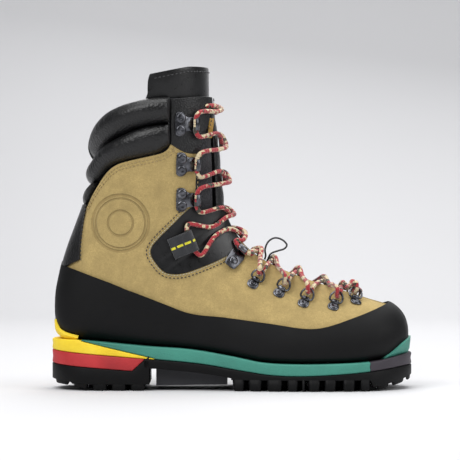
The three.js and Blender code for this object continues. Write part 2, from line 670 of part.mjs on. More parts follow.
// Collar: three padded rolls between the suede's top edge and the rim.
const seam = between([[-115.7, 191], [-114, 195], [-107.5, 204], [-97.4, 211], [-87.5, 216], [-76.8, 220],
  [-65, 222.5], [-52.6, 223.8]]);
const rimLine = between([[-111.6, 218], [-109, 226.5], [-102, 234], [-92, 239], [-82, 242],
  [-71, 244.5], [-61, 245.6],
  [-52.6, 246]]);
const padTop = between([[-115.9, 190.2], [-114, 194.2], [-107.2, 203.2], [-97, 210.2], [-87.2, 215.2],
  [-76.5, 219.2],
  [-65, 221.7], [-52.6, 223]]);
const padBase = between([[-119.9, 172.2], [-115.6, 175.2], [-106.5, 185.3], [-97.2, 190.6],
  [-85, 193.9], [-73, 196.5],
  [-61.5, 199.4], [-52.6, 206.6]]);
const lowTop = between([[-120.7, 170.6], [-119.6, 170.4], [-118.2, 171.2], [-116.8, 171.8]]);
const lowBase = between([[-125, 155.6], [-123.6, 158.2], [-121, 163], [-118, 168.4]]);
const padInner = -1.6;
add("collar_roll_top", roll(seam, rimLine, 0.5, padInner, 6.5), finish.blackLeather);
add("collar_roll_middle", roll(padBase, padTop, 0.5, padInner, 6.5), finish.blackLeather);
add("collar_roll_low", roll(lowBase, lowTop, 0.5, padInner, 3.5, 4, 8), finish.blackLeather);

// The tongue's free top folds about a line across the shin, just above the last crossing.
const flapOuter = tongueInner - 1.2;
const flapInner = flapOuter - tongueThick;
const flapZone = slab([[-70, 247.5], [-32, 247.5], [-25, 245.2], [0, 245.2], [0, 271.6], [-30, 272],
  [-46, 270.5],
  [-60, 267], [-68, 262], [-71.5, 256]], -Y(36), Y(36));
add("tongue_flap", sock(flapOuter, 14).subtract(sock(flapInner, 14, 5)).intersect(flapZone),
  finish.blackLeather);

// Board and footbed lie on the lining's floor.
const inside = sock(liningInner - gap, 4);
const floorLift = skinLift - liningInner + gap;
const bedLine = (lift) => (x) => feather(x) + floorLift + lift;
const bedSlab = (inset, low, high) => (
  soleLayer(X(-152) + inset, X(146) - inset, inset, bedLine(high), bedLine(low), 14)
  .intersect(inside)
);
add("insole_board", bedSlab(20, -5, boardThick), finish.boardFibre);
add("footbed", bedSlab(17, boardThick + gap, boardThick + gap + footbedThick), finish.liningCloth);

// Crampon bumpers lie over the rand at the toe and fill its cut at the heel.
const bumperInner = randOuter + gap;
add("toe_bumper", layer(bumperInner, bumperInner + 1.5).intersect(slab([[124, 26.2], [134, 33],
  [143, 40.5], [146, 42],
  [160, 41], [160, 31], [146, 31], [135, 28.6]])), finish.tealFoam);
add("heel_bumper", layer(0.3, randOuter + 0.5).intersect(slab([[-156, 59.4], [-149.6, 59.2], [-137.4, 43.4],
  [-156, 43.4]])).subtract(underfoot(randMargin, skinLift + 1)), finish.yellowFoam);

// Lace hardware ---------------------------------------------------

const ringSpots = [[104.3, 75.5, -0.3, 1], [86.5, 72.5, 0.46, 0.89], [61.5, 75.5, 0.55, 0.84],
  [41.5, 84, 0.61, 0.79],
  [19.5, 92, 0.62, 0.79]];
const hookSpots = [[-41, 159.5, 1, 0], [-41, 189.2, 1, 0], [-42, 223.8, 1, 0]];
const lockSpot = [1.8, 110, 0.62, 0.78];
const strapSpot = [-48, 119.5, 0.92, 0.39];
const sides = [["lateral", -1], ["medial", 1]];
const seats = { ring: { lateral: [], medial: [] }, hook: { lateral: [], medial: [] }, lock: {}, strap: {} };
const clipLift = 0.5; // from the leather to a clip
const barHeight = clipLift + 2; // hinge line of a ring above the leather
const rise = (ringLift * Math.PI) / 180;

function ringClip() {
  const base = plate([[-8.2, -1.6], [-6.8, -3.6], [-4, -4.1], [0, -2.5], [2.2, -2.5], [2.2, 2.5], [0, 2.5],
    [-4, 4.1], [-6.8, 3.6], [-8.2, 1.6]]);
  const barrel = circle(ringWire + gap + 0.9, 8);
  const bore = (ringWire + gap) / Math.cos(Math.PI / 8);
  barrel.holes.push(new THREE.Path(circle(bore, 8).getPoints().reverse()));
  const curl = new THREE.ExtrudeGeometry(barrel, { depth: 5, bevelEnabled: false })
    .translate(0, 0, -2.5).rotateX(Math.PI / 2).translate(0, 0, barHeight - clipLift);
  return solidOf(base).add(solidOf(rivet(-4.2, 0, 3.4))).add(solidOf(curl));
}

function ringWireLoop() {
  const w = ringWidth / 2;
  const points = [[0, -w + 1.2], [0, -2.6], [0, 2.6], [0, w - 1.2], [1.2, w], [ringReach * 0.5, w],
    [ringReach * 0.85, w * 0.62],
    [ringReach, 0], [ringReach * 0.85, -w * 0.62], [ringReach * 0.5, -w], [1.2, -w]];
  const path = new THREE.CatmullRomCurve3(points.map(([x, y]) => new THREE.Vector3(x, y, 0)), true,
    "centripetal");
  return new THREE.TubeGeometry(path, 18, ringWire, 4, true)
    .rotateY(-rise).translate(0, 0, barHeight - clipLift);
}

for (const [name, side] of sides) {
  ringSpots.forEach(([x, z, dx, dz], i) => {
    const seat = seatOn(x, z, side, dx, dz);
    seats.ring[name].push(seat);
    const label = name + "_" + (i + 1);
    add("ring_clip_" + label, solidOf(onto(geometryOf(ringClip()), seat, clipLift)), finish.metal);
    const ring = add("lace_ring_" + label, solidOf(onto(ringWireLoop(), seat, clipLift)), finish.metal);
    ring.userData.hinge = {
      point: seat.point.clone().addScaledVector(seat.normal, barHeight),
      axis: seat.normal.clone().cross(seat.ahead),
    };
  });
}

// A channel that runs along the shin, closed on the side that the lace pulls towards.
const channelRadius = laceRadius + 0.5;
const channelHeight = channelRadius + plateThick;
function channel(ahead, length, opening) {
  const far = channelRadius + plateThick;
  const profile = new THREE.Shape();
  profile.absarc(0, 0, far, -Math.PI / 2, opening, false);
  profile.absarc(0, 0, channelRadius, opening, -Math.PI / 2, true);
  return new THREE.ExtrudeGeometry(profile, { depth: length, bevelEnabled: false, curveSegments: 6 })
    .translate(0, 0, -length / 2).rotateX(Math.PI / 2).translate(ahead - 0.1, 0, channelHeight);
}

// A speed hook: a plate with two rivets that carries the channel.
const hookReach = 11;
function speedHook() {
  const edge = hookLength / 2;
  const base = plate([[-6, -8.8], [-3, -10.2], [1, -9.6], [4, -6], [hookReach, -edge],
    [hookReach, edge], [4, 6],
    [1, 9.6], [-3, 10.2], [-6, 8.8], [-6.2, 0]]);
  return solidOf(base).add(solidOf(rivet(-1.2, -5.2, 3.8))).add(solidOf(rivet(-1.2, 5.2, 3.8)))
    .add(solidOf(channel(hookReach, hookLength, Math.PI * 0.62)));
}

// A locking eyelet: a tapered plate with one rivet and a deeper, shorter channel.
const lockReach = 9.5;
const lockLength = 8;
function lockingEyelet() {
  const base = plate([[-11, -3.2], [-9, -5.4], [3, -6.6], [6, -6], [lockReach, -4], [lockReach, 4],
    [6, 6], [3, 6.6],
    [-9, 5.4], [-11, 3.2]]);
  return solidOf(base).add(solidOf(rivet(-3.5, 0, 3.8)))
    .add(solidOf(channel(lockReach, lockLength, Math.PI * 0.85)));
}

// A webbing strap sewn to the flex panel and folded into a tunnel for the lace.
const strapWidth = 18;
const strapReach = 14.5;
const tunnelRadius = laceRadius + 0.5;
const tunnelHeight = tunnelRadius + webbing;
function laceStrap() {
  const profile = new THREE.Shape();
  profile.moveTo(-3, 0);
  profile.lineTo(strapReach, 0);
  profile.absarc(strapReach, tunnelHeight, tunnelHeight, -Math.PI / 2, Math.PI / 2, false);
  profile.lineTo(strapReach - 8, webbing + 1.2);
  profile.lineTo(-3, webbing + 0.6);
  profile.closePath();
  profile.holes.push(new THREE.Path().absarc(strapReach, tunnelHeight, tunnelRadius, 0, 2 * Math.PI, true));
  return solidOf(new THREE.ExtrudeGeometry(profile, { depth: strapWidth, bevelEnabled: false,
    curveSegments: 6 })
    .translate(0, 0, -strapWidth / 2).rotateX(Math.PI / 2));
}

const plateLift = 1.1; // from the leather to a flat plate, over the leather's curve
const strapLift = 1.2;
for (const [name, side] of sides) {
  hookSpots.forEach(([x, z, dx, dz], i) => {
    const seat = seatOn(x, z, side, dx, dz);
    seats.hook[name].push(seat);
    const hook = solidOf(onto(geometryOf(speedHook()), seat, plateLift));
    add("speed_hook_" + name + "_" + (i + 1), hook, finish.metal);
  });
  const lock = seatOn(lockSpot[0], lockSpot[1], side, lockSpot[2], lockSpot[3]);
  seats.lock[name] = lock;
  add("locking_eyelet_" + name, solidOf(onto(geometryOf(lockingEyelet()), lock, plateLift)), finish.metal);
  const strap = seatOn(strapSpot[0], strapSpot[1], side, strapSpot[2], strapSpot[3]);
  seats.strap[name] = strap;
  add("lace_strap_" + name, solidOf(onto(geometryOf(laceStrap()), strap, strapLift)), finish.webbingCloth);
}

// Lace -----------------------------------------------------------

const point = (seat, ahead, up, out) => seat.point.clone()
  .addScaledVector(seat.ahead, ahead).addScaledVector(seat.up, up).addScaledVector(seat.normal, out);

// Through a ring, from under the wire's far bend to over it.
const ringBend = ringWire + ringPlay + laceRadius;
function throughRing(seat) {
  const place = (along, across, up) => point(seat, along * Math.cos(rise) - across * Math.sin(rise), up,
    barHeight + along * Math.sin(rise) + across * Math.cos(rise));
  return [
    place(ringReach + 2, -ringBend, -0.8),
    place(ringReach - ringBend * 0.7, -ringBend * 0.74, -0.4),
    place(ringReach - ringBend, 0, 0),
    place(ringReach - ringBend * 0.7, ringBend * 0.74, 0.4),
    place(ringReach + 2, ringBend + 1.5, 2),
  ];
}
// Through a channel or tunnel, upwards.
function throughChannel(seat, ahead, length, height) {
  const half = length / 2;
  return [
    point(seat, ahead + 3, -half - 5, height),
    point(seat, ahead + 0.2, -half - 1, height),
    point(seat, ahead, 0, height),
    point(seat, ahead + 0.2, half + 1, height),
    point(seat, ahead + 3, half + 5, height),
  ];
}

const stops = (name) => [
  ...seats.ring[name].map((seat) => throughRing(seat)),
  throughChannel(seats.lock[name], lockReach, lockLength, plateLift + channelHeight),
  throughChannel(seats.strap[name], strapReach, strapWidth, strapLift + tunnelHeight),
  ...seats.hook[name].map((seat) => throughChannel(seat, hookReach, hookLength, plateLift + channelHeight)),
];
// Where the two strands cross on the middle line, from the first pair of rings to the top.
const crossings = [[93, 85.1], [77, 90], [55, 98], [34, 107.5], [22, 115], [7.5, 129], [-2.5, 146],
  [-6.6, 175],
  [-9.3, 205], [-12.8, 236]];
const barSpot = [108.5, 80];
const facingTop = [-24, 243]; // where an end of the lace passes over its hook facing
const laceLow = 1.6; // lower strand's middle line above the skin, and the upper one's
const laceHigh = laceLow + 2 * laceRadius + 1.2;

const seatsOf = (name) => [...seats.ring[name], seats.lock[name], seats.strap[name], ...seats.hook[name]];
// A crossing from one seat to the next, at a height over the middle line and over its edges. The strand
// reaches each edge part of the way to its seat, so two strands make an X.
function across(spot, from, to, height, edge) {
  const { at } = locate(X(spot[0]), Z(spot[1]));
  const beside = (seat) => {
    const turn = Math.sign(seat.turn) * Math.min(0.11, Math.abs(seat.turn) * 0.5);
    return skin(lerp(at, seat.at, 0.4), turn, edge);
  };
  return [beside(from), skin(at, 0, height), beside(to)];
}
// Round the ankle, half way from a crossing to a strap.
const strapStop = ringSpots.length + 1;
function guide(spot, seat) {
  const { at } = locate(X(spot[0]), Z(spot[1]));
  return skin(lerp(at, seat.at, 0.55), seat.turn * 0.6, 4.4);
}
function strand(side) {
  const route = [];
  let here = side;
  crossings.forEach((spot, i) => {
    const name = here < 0 ? "lateral" : "medial";
    if (i === strapStop) route.push(guide(crossings[i - 1], seats.strap[name]));
    route.push(...stops(name)[i]);
    if (i === strapStop) route.push(guide(spot, seats.strap[name]));
    const upper = (i % 2 === 0) === (side < 0);
    const from = seatsOf(name)[i];
    const to = i + 1 < crossings.length
      ? seatsOf(here < 0 ? "medial" : "lateral")[i + 1]
      : { at: locate(X(facingTop[0]), Z(facingTop[1])).at, turn: -here };
    route.push(...across(spot, from, to, upper ? laceHigh : laceLow, upper ? 4.9 : 3.7));
    here = -here;
  });
  // The end goes over the facing's top edge and behind it.
  const top = (x, z, depth) => {
    const found = locate(X(x), Z(z));
    return skin(found.at, here * found.turn, depth);
  };
  route.push(top(...facingTop, 4), top(-28, 249.5, 1.2), top(-31, 250.5, -3));
  return route;
}
const barPoint = skin(locate(X(barSpot[0]), Z(barSpot[1])).at, 0, laceLow + 1);
const lacePoints = [...strand(1).reverse(), barPoint, ...strand(-1)];
add("lace", tube(new Route(lacePoints, 30, 2), laceRadius, 6), finish.laceBraid);

// Keeper loop: a thin cord whose two ends are sewn to the tongue between two crossings.
const keeperSeat = (x, z, y) => {
  const spot = skin(locate(X(x), Z(z)).at, 0, tongueOuter + gap);
  return spot.setY(throatMiddle + y);
};
const keeperPath = [[28.5, 112, -1], [28, 117, -1], [30.5, 123.5, -1], [36, 127, -0.5], [42.5, 125.5, 0],
  [46.6, 121, 0.6], [44.8, 118, 1], [39, 116, 1.2], [33, 113.5, 1.2]].map(([x, z, y]) => new THREE.Vector3(X(x), throatMiddle + y, Z(z)));
const keeperPoints = [keeperSeat(28.5, 110, -1), ...keeperPath, keeperSeat(30.8, 109.3, 1.2)];
add("cord_loop", tube(new Route(keeperPoints, 6, 2), keeperRadius, 8), finish.blackLeather);

export default boot;
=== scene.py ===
"""A tall mountaineering boot, laced up: the pieces that show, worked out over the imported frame."""
import math

import bmesh
import bpy
import numpy as np
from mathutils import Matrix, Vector
from bpy.props import FloatProperty, FloatVectorProperty, PointerProperty


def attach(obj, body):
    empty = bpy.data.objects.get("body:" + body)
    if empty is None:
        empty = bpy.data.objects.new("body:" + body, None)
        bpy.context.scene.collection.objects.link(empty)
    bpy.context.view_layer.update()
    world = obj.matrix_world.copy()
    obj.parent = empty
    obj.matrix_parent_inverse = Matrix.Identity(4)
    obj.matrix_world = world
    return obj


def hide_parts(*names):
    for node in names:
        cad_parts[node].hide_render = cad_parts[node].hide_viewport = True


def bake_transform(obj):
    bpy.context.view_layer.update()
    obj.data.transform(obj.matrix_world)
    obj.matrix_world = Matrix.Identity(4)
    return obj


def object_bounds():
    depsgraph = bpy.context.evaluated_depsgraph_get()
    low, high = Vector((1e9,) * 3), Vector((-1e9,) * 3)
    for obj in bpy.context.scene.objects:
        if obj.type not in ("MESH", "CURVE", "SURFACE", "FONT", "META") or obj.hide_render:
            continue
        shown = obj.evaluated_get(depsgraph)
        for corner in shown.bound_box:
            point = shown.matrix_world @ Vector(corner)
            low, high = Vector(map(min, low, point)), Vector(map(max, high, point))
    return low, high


bl_info = {
    "name": "Mountaineering boot",
    "version": (1, 0, 0),
    "blender": (4, 5, 0),
    "location": "3D View > Sidebar > Boot",
    "description": "Builds the visible pieces of a laced mountaineering boot over its CAD frame",
    "category": "Add Mesh",
}

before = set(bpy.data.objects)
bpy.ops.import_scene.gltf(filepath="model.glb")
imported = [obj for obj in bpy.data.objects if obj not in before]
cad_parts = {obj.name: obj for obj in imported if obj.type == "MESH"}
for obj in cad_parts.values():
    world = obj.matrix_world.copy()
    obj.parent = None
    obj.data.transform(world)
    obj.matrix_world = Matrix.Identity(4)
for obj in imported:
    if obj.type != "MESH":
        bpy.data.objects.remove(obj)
FRAME_BOX = [list(corner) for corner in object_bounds()]

# The boot's own lines, in millimetres: +X to the toe, +Z up, -Y to the outer side of the foot.
HALF = 153.0
GAP, LEATHER, RAND, WELT = 0.3, 2.2, 2.1, 3.4
NOSE_TO_TOP = np.array([
    [147.3, 33], [148.2, 44], [147.2, 54], [143, 63], [134, 70.5], [118, 76.3], [96, 84], [71, 92], [50, 100],
    [32, 108.5], [19, 117], [10, 126], [3, 135], [-1.5, 143], [-4, 150], [-5, 157], [-5.8, 166], [-6.7, 176],
    [-7.8, 188], [-9.2, 201], [-10.7, 215], [-12.5, 229], [-14.3, 242], [-15.8, 254], [-16.8, 264], [-17.5, 275]])
UNDER_FOOT = [146.2, 140, 132, 122, 110, 96, 76, 52, 25, -4, -36, -72, -106]
CALF = [[-137, 45.6], [-147, 55.5], [-148.2, 78], [-144.8, 98], [-139, 118], [-132, 137], [-125, 156],
        [-118.5, 176], [-114.5, 196], [-111.5, 214], [-109.5, 230], [-108, 244], [-107, 258]]
CALF_WIDTH = [37, 36.5, 36, 36, 36.5, 38, 40, 42, 43.5, 44.5, 45, 45.5, 46]
BELLY = [0.5, 0.55, 0.6, 0.68, 0.74, 0.78, 0.8, 0.82, 0.82, 0.8, 0.78, 0.74, 0.68, 0.64, 0.6, 0.57, 0.54, 0.52,
         0.5, 0.5, 0.5, 0.5, 0.5, 0.5, 0.5, 0.5]
FRONT_ROUND = [2, 2, 2, 2, 1.95, 1.85, 1.75, 1.65, 1.62, 1.62, 1.7, 1.8, 1.9, 2] + [2.1] * 12
BACK_ROUND = [4, 5, 6, 6, 6, 6, 6, 6, 6, 6, 6, 5.5, 4.6, 3.8, 3.2, 2.9, 2.7, 2.6, 2.5, 2.4] + [2.3] * 6
STATIONS = np.array([0, 1, 2, 3, 4, 5, 6, 7, 8, 9, 10, 11, 12, 13, 14, 16, 18, 20, 22, 25.0])
ROUND = 20
LAST = len(NOSE_TO_TOP) - 1
WEDGE_END, RAMP_FOOT, RAMP_TOP = -64, -84.0, -73.0
SHAFT_FROM = 12.0


# ---- lines and surfaces -------------------------------------------------

def spline(values, at):
    """Uniform Catmull-Rom through a row of numbers, at knot positions."""
    v = np.asarray(values, float)
    last = len(v) - 1
    t = np.clip(at, 0, last)
    i = np.minimum(np.floor(t).astype(int), last - 1)
    f = t - i
    b, c = v[i], v[i + 1]
    a = np.where(i > 0, v[np.maximum(i - 1, 0)], 2 * b - c)
    d = np.where(i + 2 <= last, v[np.minimum(i + 2, last)], 2 * c - b)
    return b + 0.5 * f * (c - a + f * (2 * a - 5 * b + 4 * c - d + f * (3 * (b - c) + d - a)))


def through(*pairs):
    """A smooth function through x, value pairs (cubic Hermite, slopes from the neighbours), level outside."""
    x, y = np.array(pairs, float).T
    last = len(x) - 1
    low, high = np.maximum(np.arange(last + 1) - 1, 0), np.minimum(np.arange(last + 1) + 1, last)
    slope = (y[high] - y[low]) / (x[high] - x[low])

    def line(at):
        at = np.clip(at, x[0], x[-1])
        i = np.clip(np.searchsorted(x, at, side="right") - 1, 0, last - 1)
        h = x[i + 1] - x[i]
        t = (at - x[i]) / h
        s = 1 - t
        return (y[i] * s * s * (1 + 2 * t) + y[i + 1] * t * t * (3 - 2 * t)
                + h * t * s * (slope[i] * s - slope[i + 1] * t))
    return line


def polyline(points, count, smooth=True):
    """count points evenly spaced along a line through the given points."""
    p = np.array(points, float)
    if smooth:
        t = np.linspace(0, len(p) - 1, 12 * len(p))
        p = np.stack([spline(column, t) for column in p.T], 1)
    far = np.r_[0, np.cumsum(np.linalg.norm(np.diff(p, axis=0), axis=1))]
    at = np.linspace(0, far[-1], count)
    return np.stack([np.interp(at, far, column) for column in p.T], 1)


def smoothstep(x, low, high):
    """From 0 at low to 1 at high, level at both ends."""
    t = np.clip((x - low) / (high - low), 0, 1)
    return t * t * (3 - 2 * t)


feather = through([-147, 43], [-129, 42.2], [-70, 36.8], [-35, 34.3], [0, 28.6], [26, 23.6], [58, 22.3], [93, 23],
                  [119, 24.6], [135, 27.5], [146, 30])
midsole_base = through([-64, 26.2], [-27, 22.6], [12, 16.3], [32, 13.5], [58, 12.7], [93, 14.3], [119, 16.6],
                       [146, 20])
wedge_top = through([-131, 42.3], [-129, 42], [-105, 35.9], [-64, 26.2])
wedge_base = through([-153, 33.3], [-73, 26.6], [-64, 26])
brake_base = through([-153, 21.8], [-84, 16.3])
ground = through([108, 0], [122, 0.9], [136, 3.8], [153, 8.5])
rand_line = through([-146, 105.2], [-131.8, 100.9], [-102.9, 90.6], [-85.9, 84.2], [-57, 73.1], [-35.7, 65.5],
                    [-6, 61.9], [31.5, 56.6], [62, 52.4], [78.2, 53.6], [102, 60.4], [119, 65.8], [134.3, 71.4])
BACK = np.array([[x, feather(x) + RAND + 2 * GAP] for x in UNDER_FOOT] + CALF)


def sole_edges(x, inset=0.0):
    """Middle, lateral and medial y of the sole at x, brought in by inset; both ends are superellipses."""
    s = x / (HALF - inset)
    knot = (np.clip(s, -1, 1) + 1) / 2 * 9
    start, power = np.where(s > 0, 0.61, -0.765), np.where(s > 0, 2.3, 2.1)
    past = np.clip((s - start) / (np.sign(start) - start), 0, 1)
    end = np.clip(1 - past ** power, 0, 1) ** (1 / power)
    middle = spline([0, 0, 0, 0, 0, 0.5, 2, 4, 6.5, 9], knot)
    lateral = spline([39, 40.5, 41, 41, 43, 49, 55, 57, 55.5, 49], knot)
    medial = spline([38, 39, 37.5, 35, 36.5, 42, 48, 49, 46.5, 42], knot)
    return middle, middle - np.maximum(0.2, lateral - inset) * end, middle + np.maximum(0.2, medial - inset) * end


def line_at(knots, at):
    """A point of a side-view line of knots."""
    return np.stack([spline(knots[:, 0], at), spline(knots[:, 1], at)], -1)


def section(at, offset=0.0):
    """One slice of the upper: front and back points in the side view, middle, half widths and roundness."""
    at = np.asarray(at, float)
    offset = np.broadcast_to(np.asarray(offset, float), at.shape)[..., None]
    front, back = line_at(NOSE_TO_TOP, at), line_at(BACK, at)
    across = back - front

    def pushed(knots, point, towards):
        step = line_at(knots, at + 0.05) - line_at(knots, at - 0.05)
        normal = np.stack([-step[..., 1], step[..., 0]], -1)
        normal /= np.maximum(np.linalg.norm(normal, axis=-1, keepdims=True), 1e-9)
        return point + normal * np.sign((normal * towards).sum(-1, keepdims=True)) * offset
    base = line_at(BACK, at)[..., 0] * HALF / (HALF - WELT - RAND)
    middle, lateral, medial = sole_edges(base)
    shoe = smoothstep(at, 10.5, 13)
    calf = spline(CALF_WIDTH, at - len(UNDER_FOOT))

    def half(width):
        lasted = width - (WELT + RAND + GAP) * np.minimum(1, width / 30)
        return np.maximum(0.6, lasted + (calf - lasted) * shoe + offset[..., 0])
    return {"front": pushed(NOSE_TO_TOP, front, -across), "back": pushed(BACK, back, across),
            "middle": middle * (1 - shoe), "lateral": half(middle - lateral), "medial": half(medial - middle),
            "belly": spline(BELLY, at), "front_power": 2 / spline(FRONT_ROUND, at),
            "back_power": 2 / spline(BACK_ROUND, at)}


def skin(at, turn, offset=0.0):
    """A point of the upper: at runs from toe to top, turn from 0 on the front line to -1 (lateral) or 1
    (medial) on the back line, and past 1 it comes back along the other side. Each quarter of a slice is a
    superellipse."""
    at, turn, offset = np.broadcast_arrays(*(np.asarray(v, float) for v in (at, turn, offset)))
    turn = (turn + 1) % 2 - 1
    s = section(at, offset)
    angle = np.pi * np.abs(turn)
    c = np.cos(angle)
    first = c >= 0
    power = np.where(first, s["front_power"], s["back_power"])
    bend = np.abs(c) ** power
    share = np.where(first, s["belly"] * (1 - bend), s["belly"] + (1 - s["belly"]) * bend)[..., None]
    reach = np.clip(np.sin(angle), 0, 1) ** power
    y = s["middle"] + np.where(turn < 0, -s["lateral"], s["medial"]) * reach
    side = s["front"] * (1 - share) + s["back"] * share
    return np.stack([side[..., 0], y, side[..., 1]], -1)


def skin_normal(at, turn, offset=0.0):
    """The outward unit normal of the upper, from two small steps across it."""
    a = skin(at + 0.03, turn, offset) - skin(at - 0.03, turn, offset)
    b = skin(at, turn + 0.004, offset) - skin(at, turn - 0.004, offset)
    n = np.cross(a, b)
    n /= np.maximum(np.linalg.norm(n, axis=-1, keepdims=True), 1e-9)
    out = skin(at, turn, offset + 1.0) - skin(at, turn, offset)
    return n * np.where((n * out).sum(-1, keepdims=True) < 0, -1, 1)


def locate(x, z):
    """The at and the turn (0 to 1) of the upper's point seen at x, z from the side, by halving."""
    x, z = np.broadcast_arrays(np.asarray(x, float), np.asarray(z, float))

    def beyond(at):
        f, b = line_at(NOSE_TO_TOP, at), line_at(BACK, at)
        return (b[..., 0] - f[..., 0]) * (z - f[..., 1]) - (b[..., 1] - f[..., 1]) * (x - f[..., 0])
    low, high = np.zeros(x.shape), np.full(x.shape, float(LAST))
    rising = beyond(high) > beyond(low)
    for _ in range(40):
        middle = (low + high) / 2
        inside = (beyond(middle) > 0) == rising
        high, low = np.where(inside, middle, high), np.where(inside, low, middle)
    s = section(low)
    across = s["back"] - s["front"]
    here = np.stack([x, z], -1) - s["front"]
    share = np.clip((here * across).sum(-1) / (across ** 2).sum(-1), 0, 1)
    belly = s["belly"]
    front = np.arccos(np.clip(1 - share / belly, 0, 1) ** (1 / s["front_power"])) / np.pi
    rear = 1 - np.arccos(np.clip((share - belly) / (1 - belly), 0, 1) ** (1 / s["back_power"])) / np.pi
    return low, np.where(share < belly, front, rear)


def seat_on(x, z, side, dx, dz):
    """A seat for hardware on the flat facet of the upper nearest to x, z: point, normal, ahead and up."""
    at, turn = (float(v) for v in locate(x, z))
    after = int(np.argmax(STATIONS > at))
    low, high = STATIONS[after - 1], STATIONS[after]
    rung = math.floor(turn * ROUND / 2)
    corners = [skin(s, side * r * 2 / ROUND) for s in (low, high) for r in (rung, rung + 1)]
    u, v = turn * ROUND / 2 - rung, (at - low) / (high - low)
    a, b, c, d = corners
    near, far = a + (b - a) * u, c + (d - c) * u
    normal = np.cross(far - near, b - a)
    normal /= np.linalg.norm(normal)
    if normal[1] * side < 0:
        normal = -normal
    ahead = np.array([dx, -(normal[0] * dx + normal[2] * dz) / normal[1], dz])
    ahead /= np.linalg.norm(ahead)
    return {"point": near + (far - near) * v, "normal": normal, "ahead": ahead,
            "up": np.cross(normal, ahead) * -side, "side": side, "at": at, "turn": side * turn}


def on_seat(points, seat, lift=0.0):
    """Local points (x ahead, y across, z out of the leather) taken to a seat."""
    p = np.asarray(points, float)
    across = np.cross(seat["normal"], seat["ahead"])
    return (seat["point"] + p[..., :1] * seat["ahead"] + p[..., 1:2] * across
            + (p[..., 2:] + lift) * seat["normal"])


# ---- meshes -------------------------------------------------------------

def mesh_object(name, points, faces, material, uv=None):
    """An object at the origin from points in millimetres and a list of faces, with doubles merged."""
    mesh = bpy.data.meshes.new(name)
    mesh.from_pydata((np.asarray(points, float).reshape(-1, 3) / 1000).tolist(), [], faces)
    if uv is not None:
        layer = mesh.uv_layers.new(name="UVMap")
        index = np.empty(len(mesh.loops), dtype=np.int32)
        mesh.loops.foreach_get("vertex_index", index)
        layer.data.foreach_set("uv", np.asarray(uv, np.float32).reshape(-1, 2)[index].ravel())
    work = bmesh.new()
    work.from_mesh(mesh)
    bmesh.ops.remove_doubles(work, verts=work.verts, dist=5e-6)
    bmesh.ops.dissolve_degenerate(work, edges=work.edges, dist=2e-6)
    work.to_mesh(mesh)
    work.free()
    mesh.polygons.foreach_set("use_smooth", [True] * len(mesh.polygons))
    mesh.materials.append(material)
    piece = bpy.data.objects.new(name, mesh)
    bpy.context.scene.collection.objects.link(piece)
    return piece


def grid_faces(rows, columns, start=0, wrap=False, flip=False):
    """The quads of a rows by columns grid of points; wrap joins its last column to its first."""
    i, j = np.meshgrid(np.arange(rows - 1), np.arange(columns if wrap else columns - 1), indexing="ij")
    k = (j + 1) % columns
    quads = np.stack([i * columns + j, i * columns + k, (i + 1) * columns + k, (i + 1) * columns + j], -1)
    quads = quads.reshape(-1, 4) + start
    return (quads[:, ::-1] if flip else quads).tolist()


def outward(mesh):
    """Turns the faces of closed pieces out."""
    work = bmesh.new()
    work.from_mesh(mesh)
    bmesh.ops.recalc_face_normals(work, faces=work.faces)
    work.to_mesh(mesh)
    work.free()


def closed(name, parts, material, uv=None):
    """One object from closed parts; each part is (rings x ring points x 3), capped at both ends."""
    points, faces, start = [], [], 0
    for part in parts:
        rows, columns = part.shape[:2]
        points.append(part.reshape(-1, 3))
        faces += grid_faces(rows, columns, start, wrap=True)
        faces.append(list(range(start, start + columns))[::-1])
        faces.append(list(range(start + (rows - 1) * columns, start + rows * columns)))
        start += rows * columns
    piece = mesh_object(name, np.concatenate(points), faces, material, uv)
    outward(piece.data)
    return piece


def round_edges(piece, width, angle=40):
    """Rounds every edge sharper than angle by width millimetres."""
    bevel = piece.modifiers.new("rounded edges", "BEVEL")
    bevel.width = width / 1000
    bevel.segments = 2
    bevel.limit_method = "ANGLE"
    bevel.angle_limit = math.radians(angle)
    bevel.harden_normals = True


def leather_panel(name, at, turn, offset, thick, material, bevel=0.45):
    """A panel of the upper: a grid of at and turn, moved out by offset and given its thickness inwards."""
    at, turn, offset = np.broadcast_arrays(at, turn, offset)
    points = skin(at, turn, offset)
    i, j = points.shape[0] // 2, points.shape[1] // 2
    cell = np.cross(points[i + 1, j] - points[i, j], points[i, j + 1] - points[i, j])
    flip = float(cell @ skin_normal(at[i, j], turn[i, j])) > 0
    piece = mesh_object(name, points, grid_faces(*points.shape[:2], flip=flip), material)
    wall = piece.modifiers.new("thickness", "SOLIDIFY")
    wall.thickness = thick / 1000
    wall.offset = -1
    wall.use_even_offset = False
    if bevel:
        round_edges(piece, bevel, 50)
    return piece


def between(first, second, rows):
    """A grid of at and turn, straight from one (at, turn) line to another."""
    v = np.linspace(0, 1, rows)[:, None]
    return [first[:, k] * (1 - v) + second[:, k] * v for k in (0, 1)]


def on_side(points, side, count):
    """A side-view line as count (at, turn) pairs on the lateral (-1) or medial (1) side."""
    p = polyline(points, count)
    at, turn = locate(p[:, 0], p[:, 1])
    return np.stack([at, side * turn], 1)


def both_sides(points, count):
    """A side-view line, as (at, turn) pairs from its end on the outer side over the front to the inner side."""
    left = on_side(points, -1, count)
    left[0, 1] = 0
    return np.vstack([left[::-1], (left * [1, -1])[1:]])


def frames_along(path):
    """Tangent, and two directions across, at each point of a path, turned as little as possible."""
    tangent = np.gradient(path, axis=0)
    tangent /= np.maximum(np.linalg.norm(tangent, axis=1, keepdims=True), 1e-9)
    first = np.cross(tangent[0], [0.3, 0.2, 1])
    across = np.empty_like(tangent)
    across[0] = first / np.linalg.norm(first)
    for i in range(1, len(path)):
        a = across[i - 1] - tangent[i] * (across[i - 1] @ tangent[i])
        across[i] = a / np.linalg.norm(a)
    return tangent, across, np.cross(tangent, across)


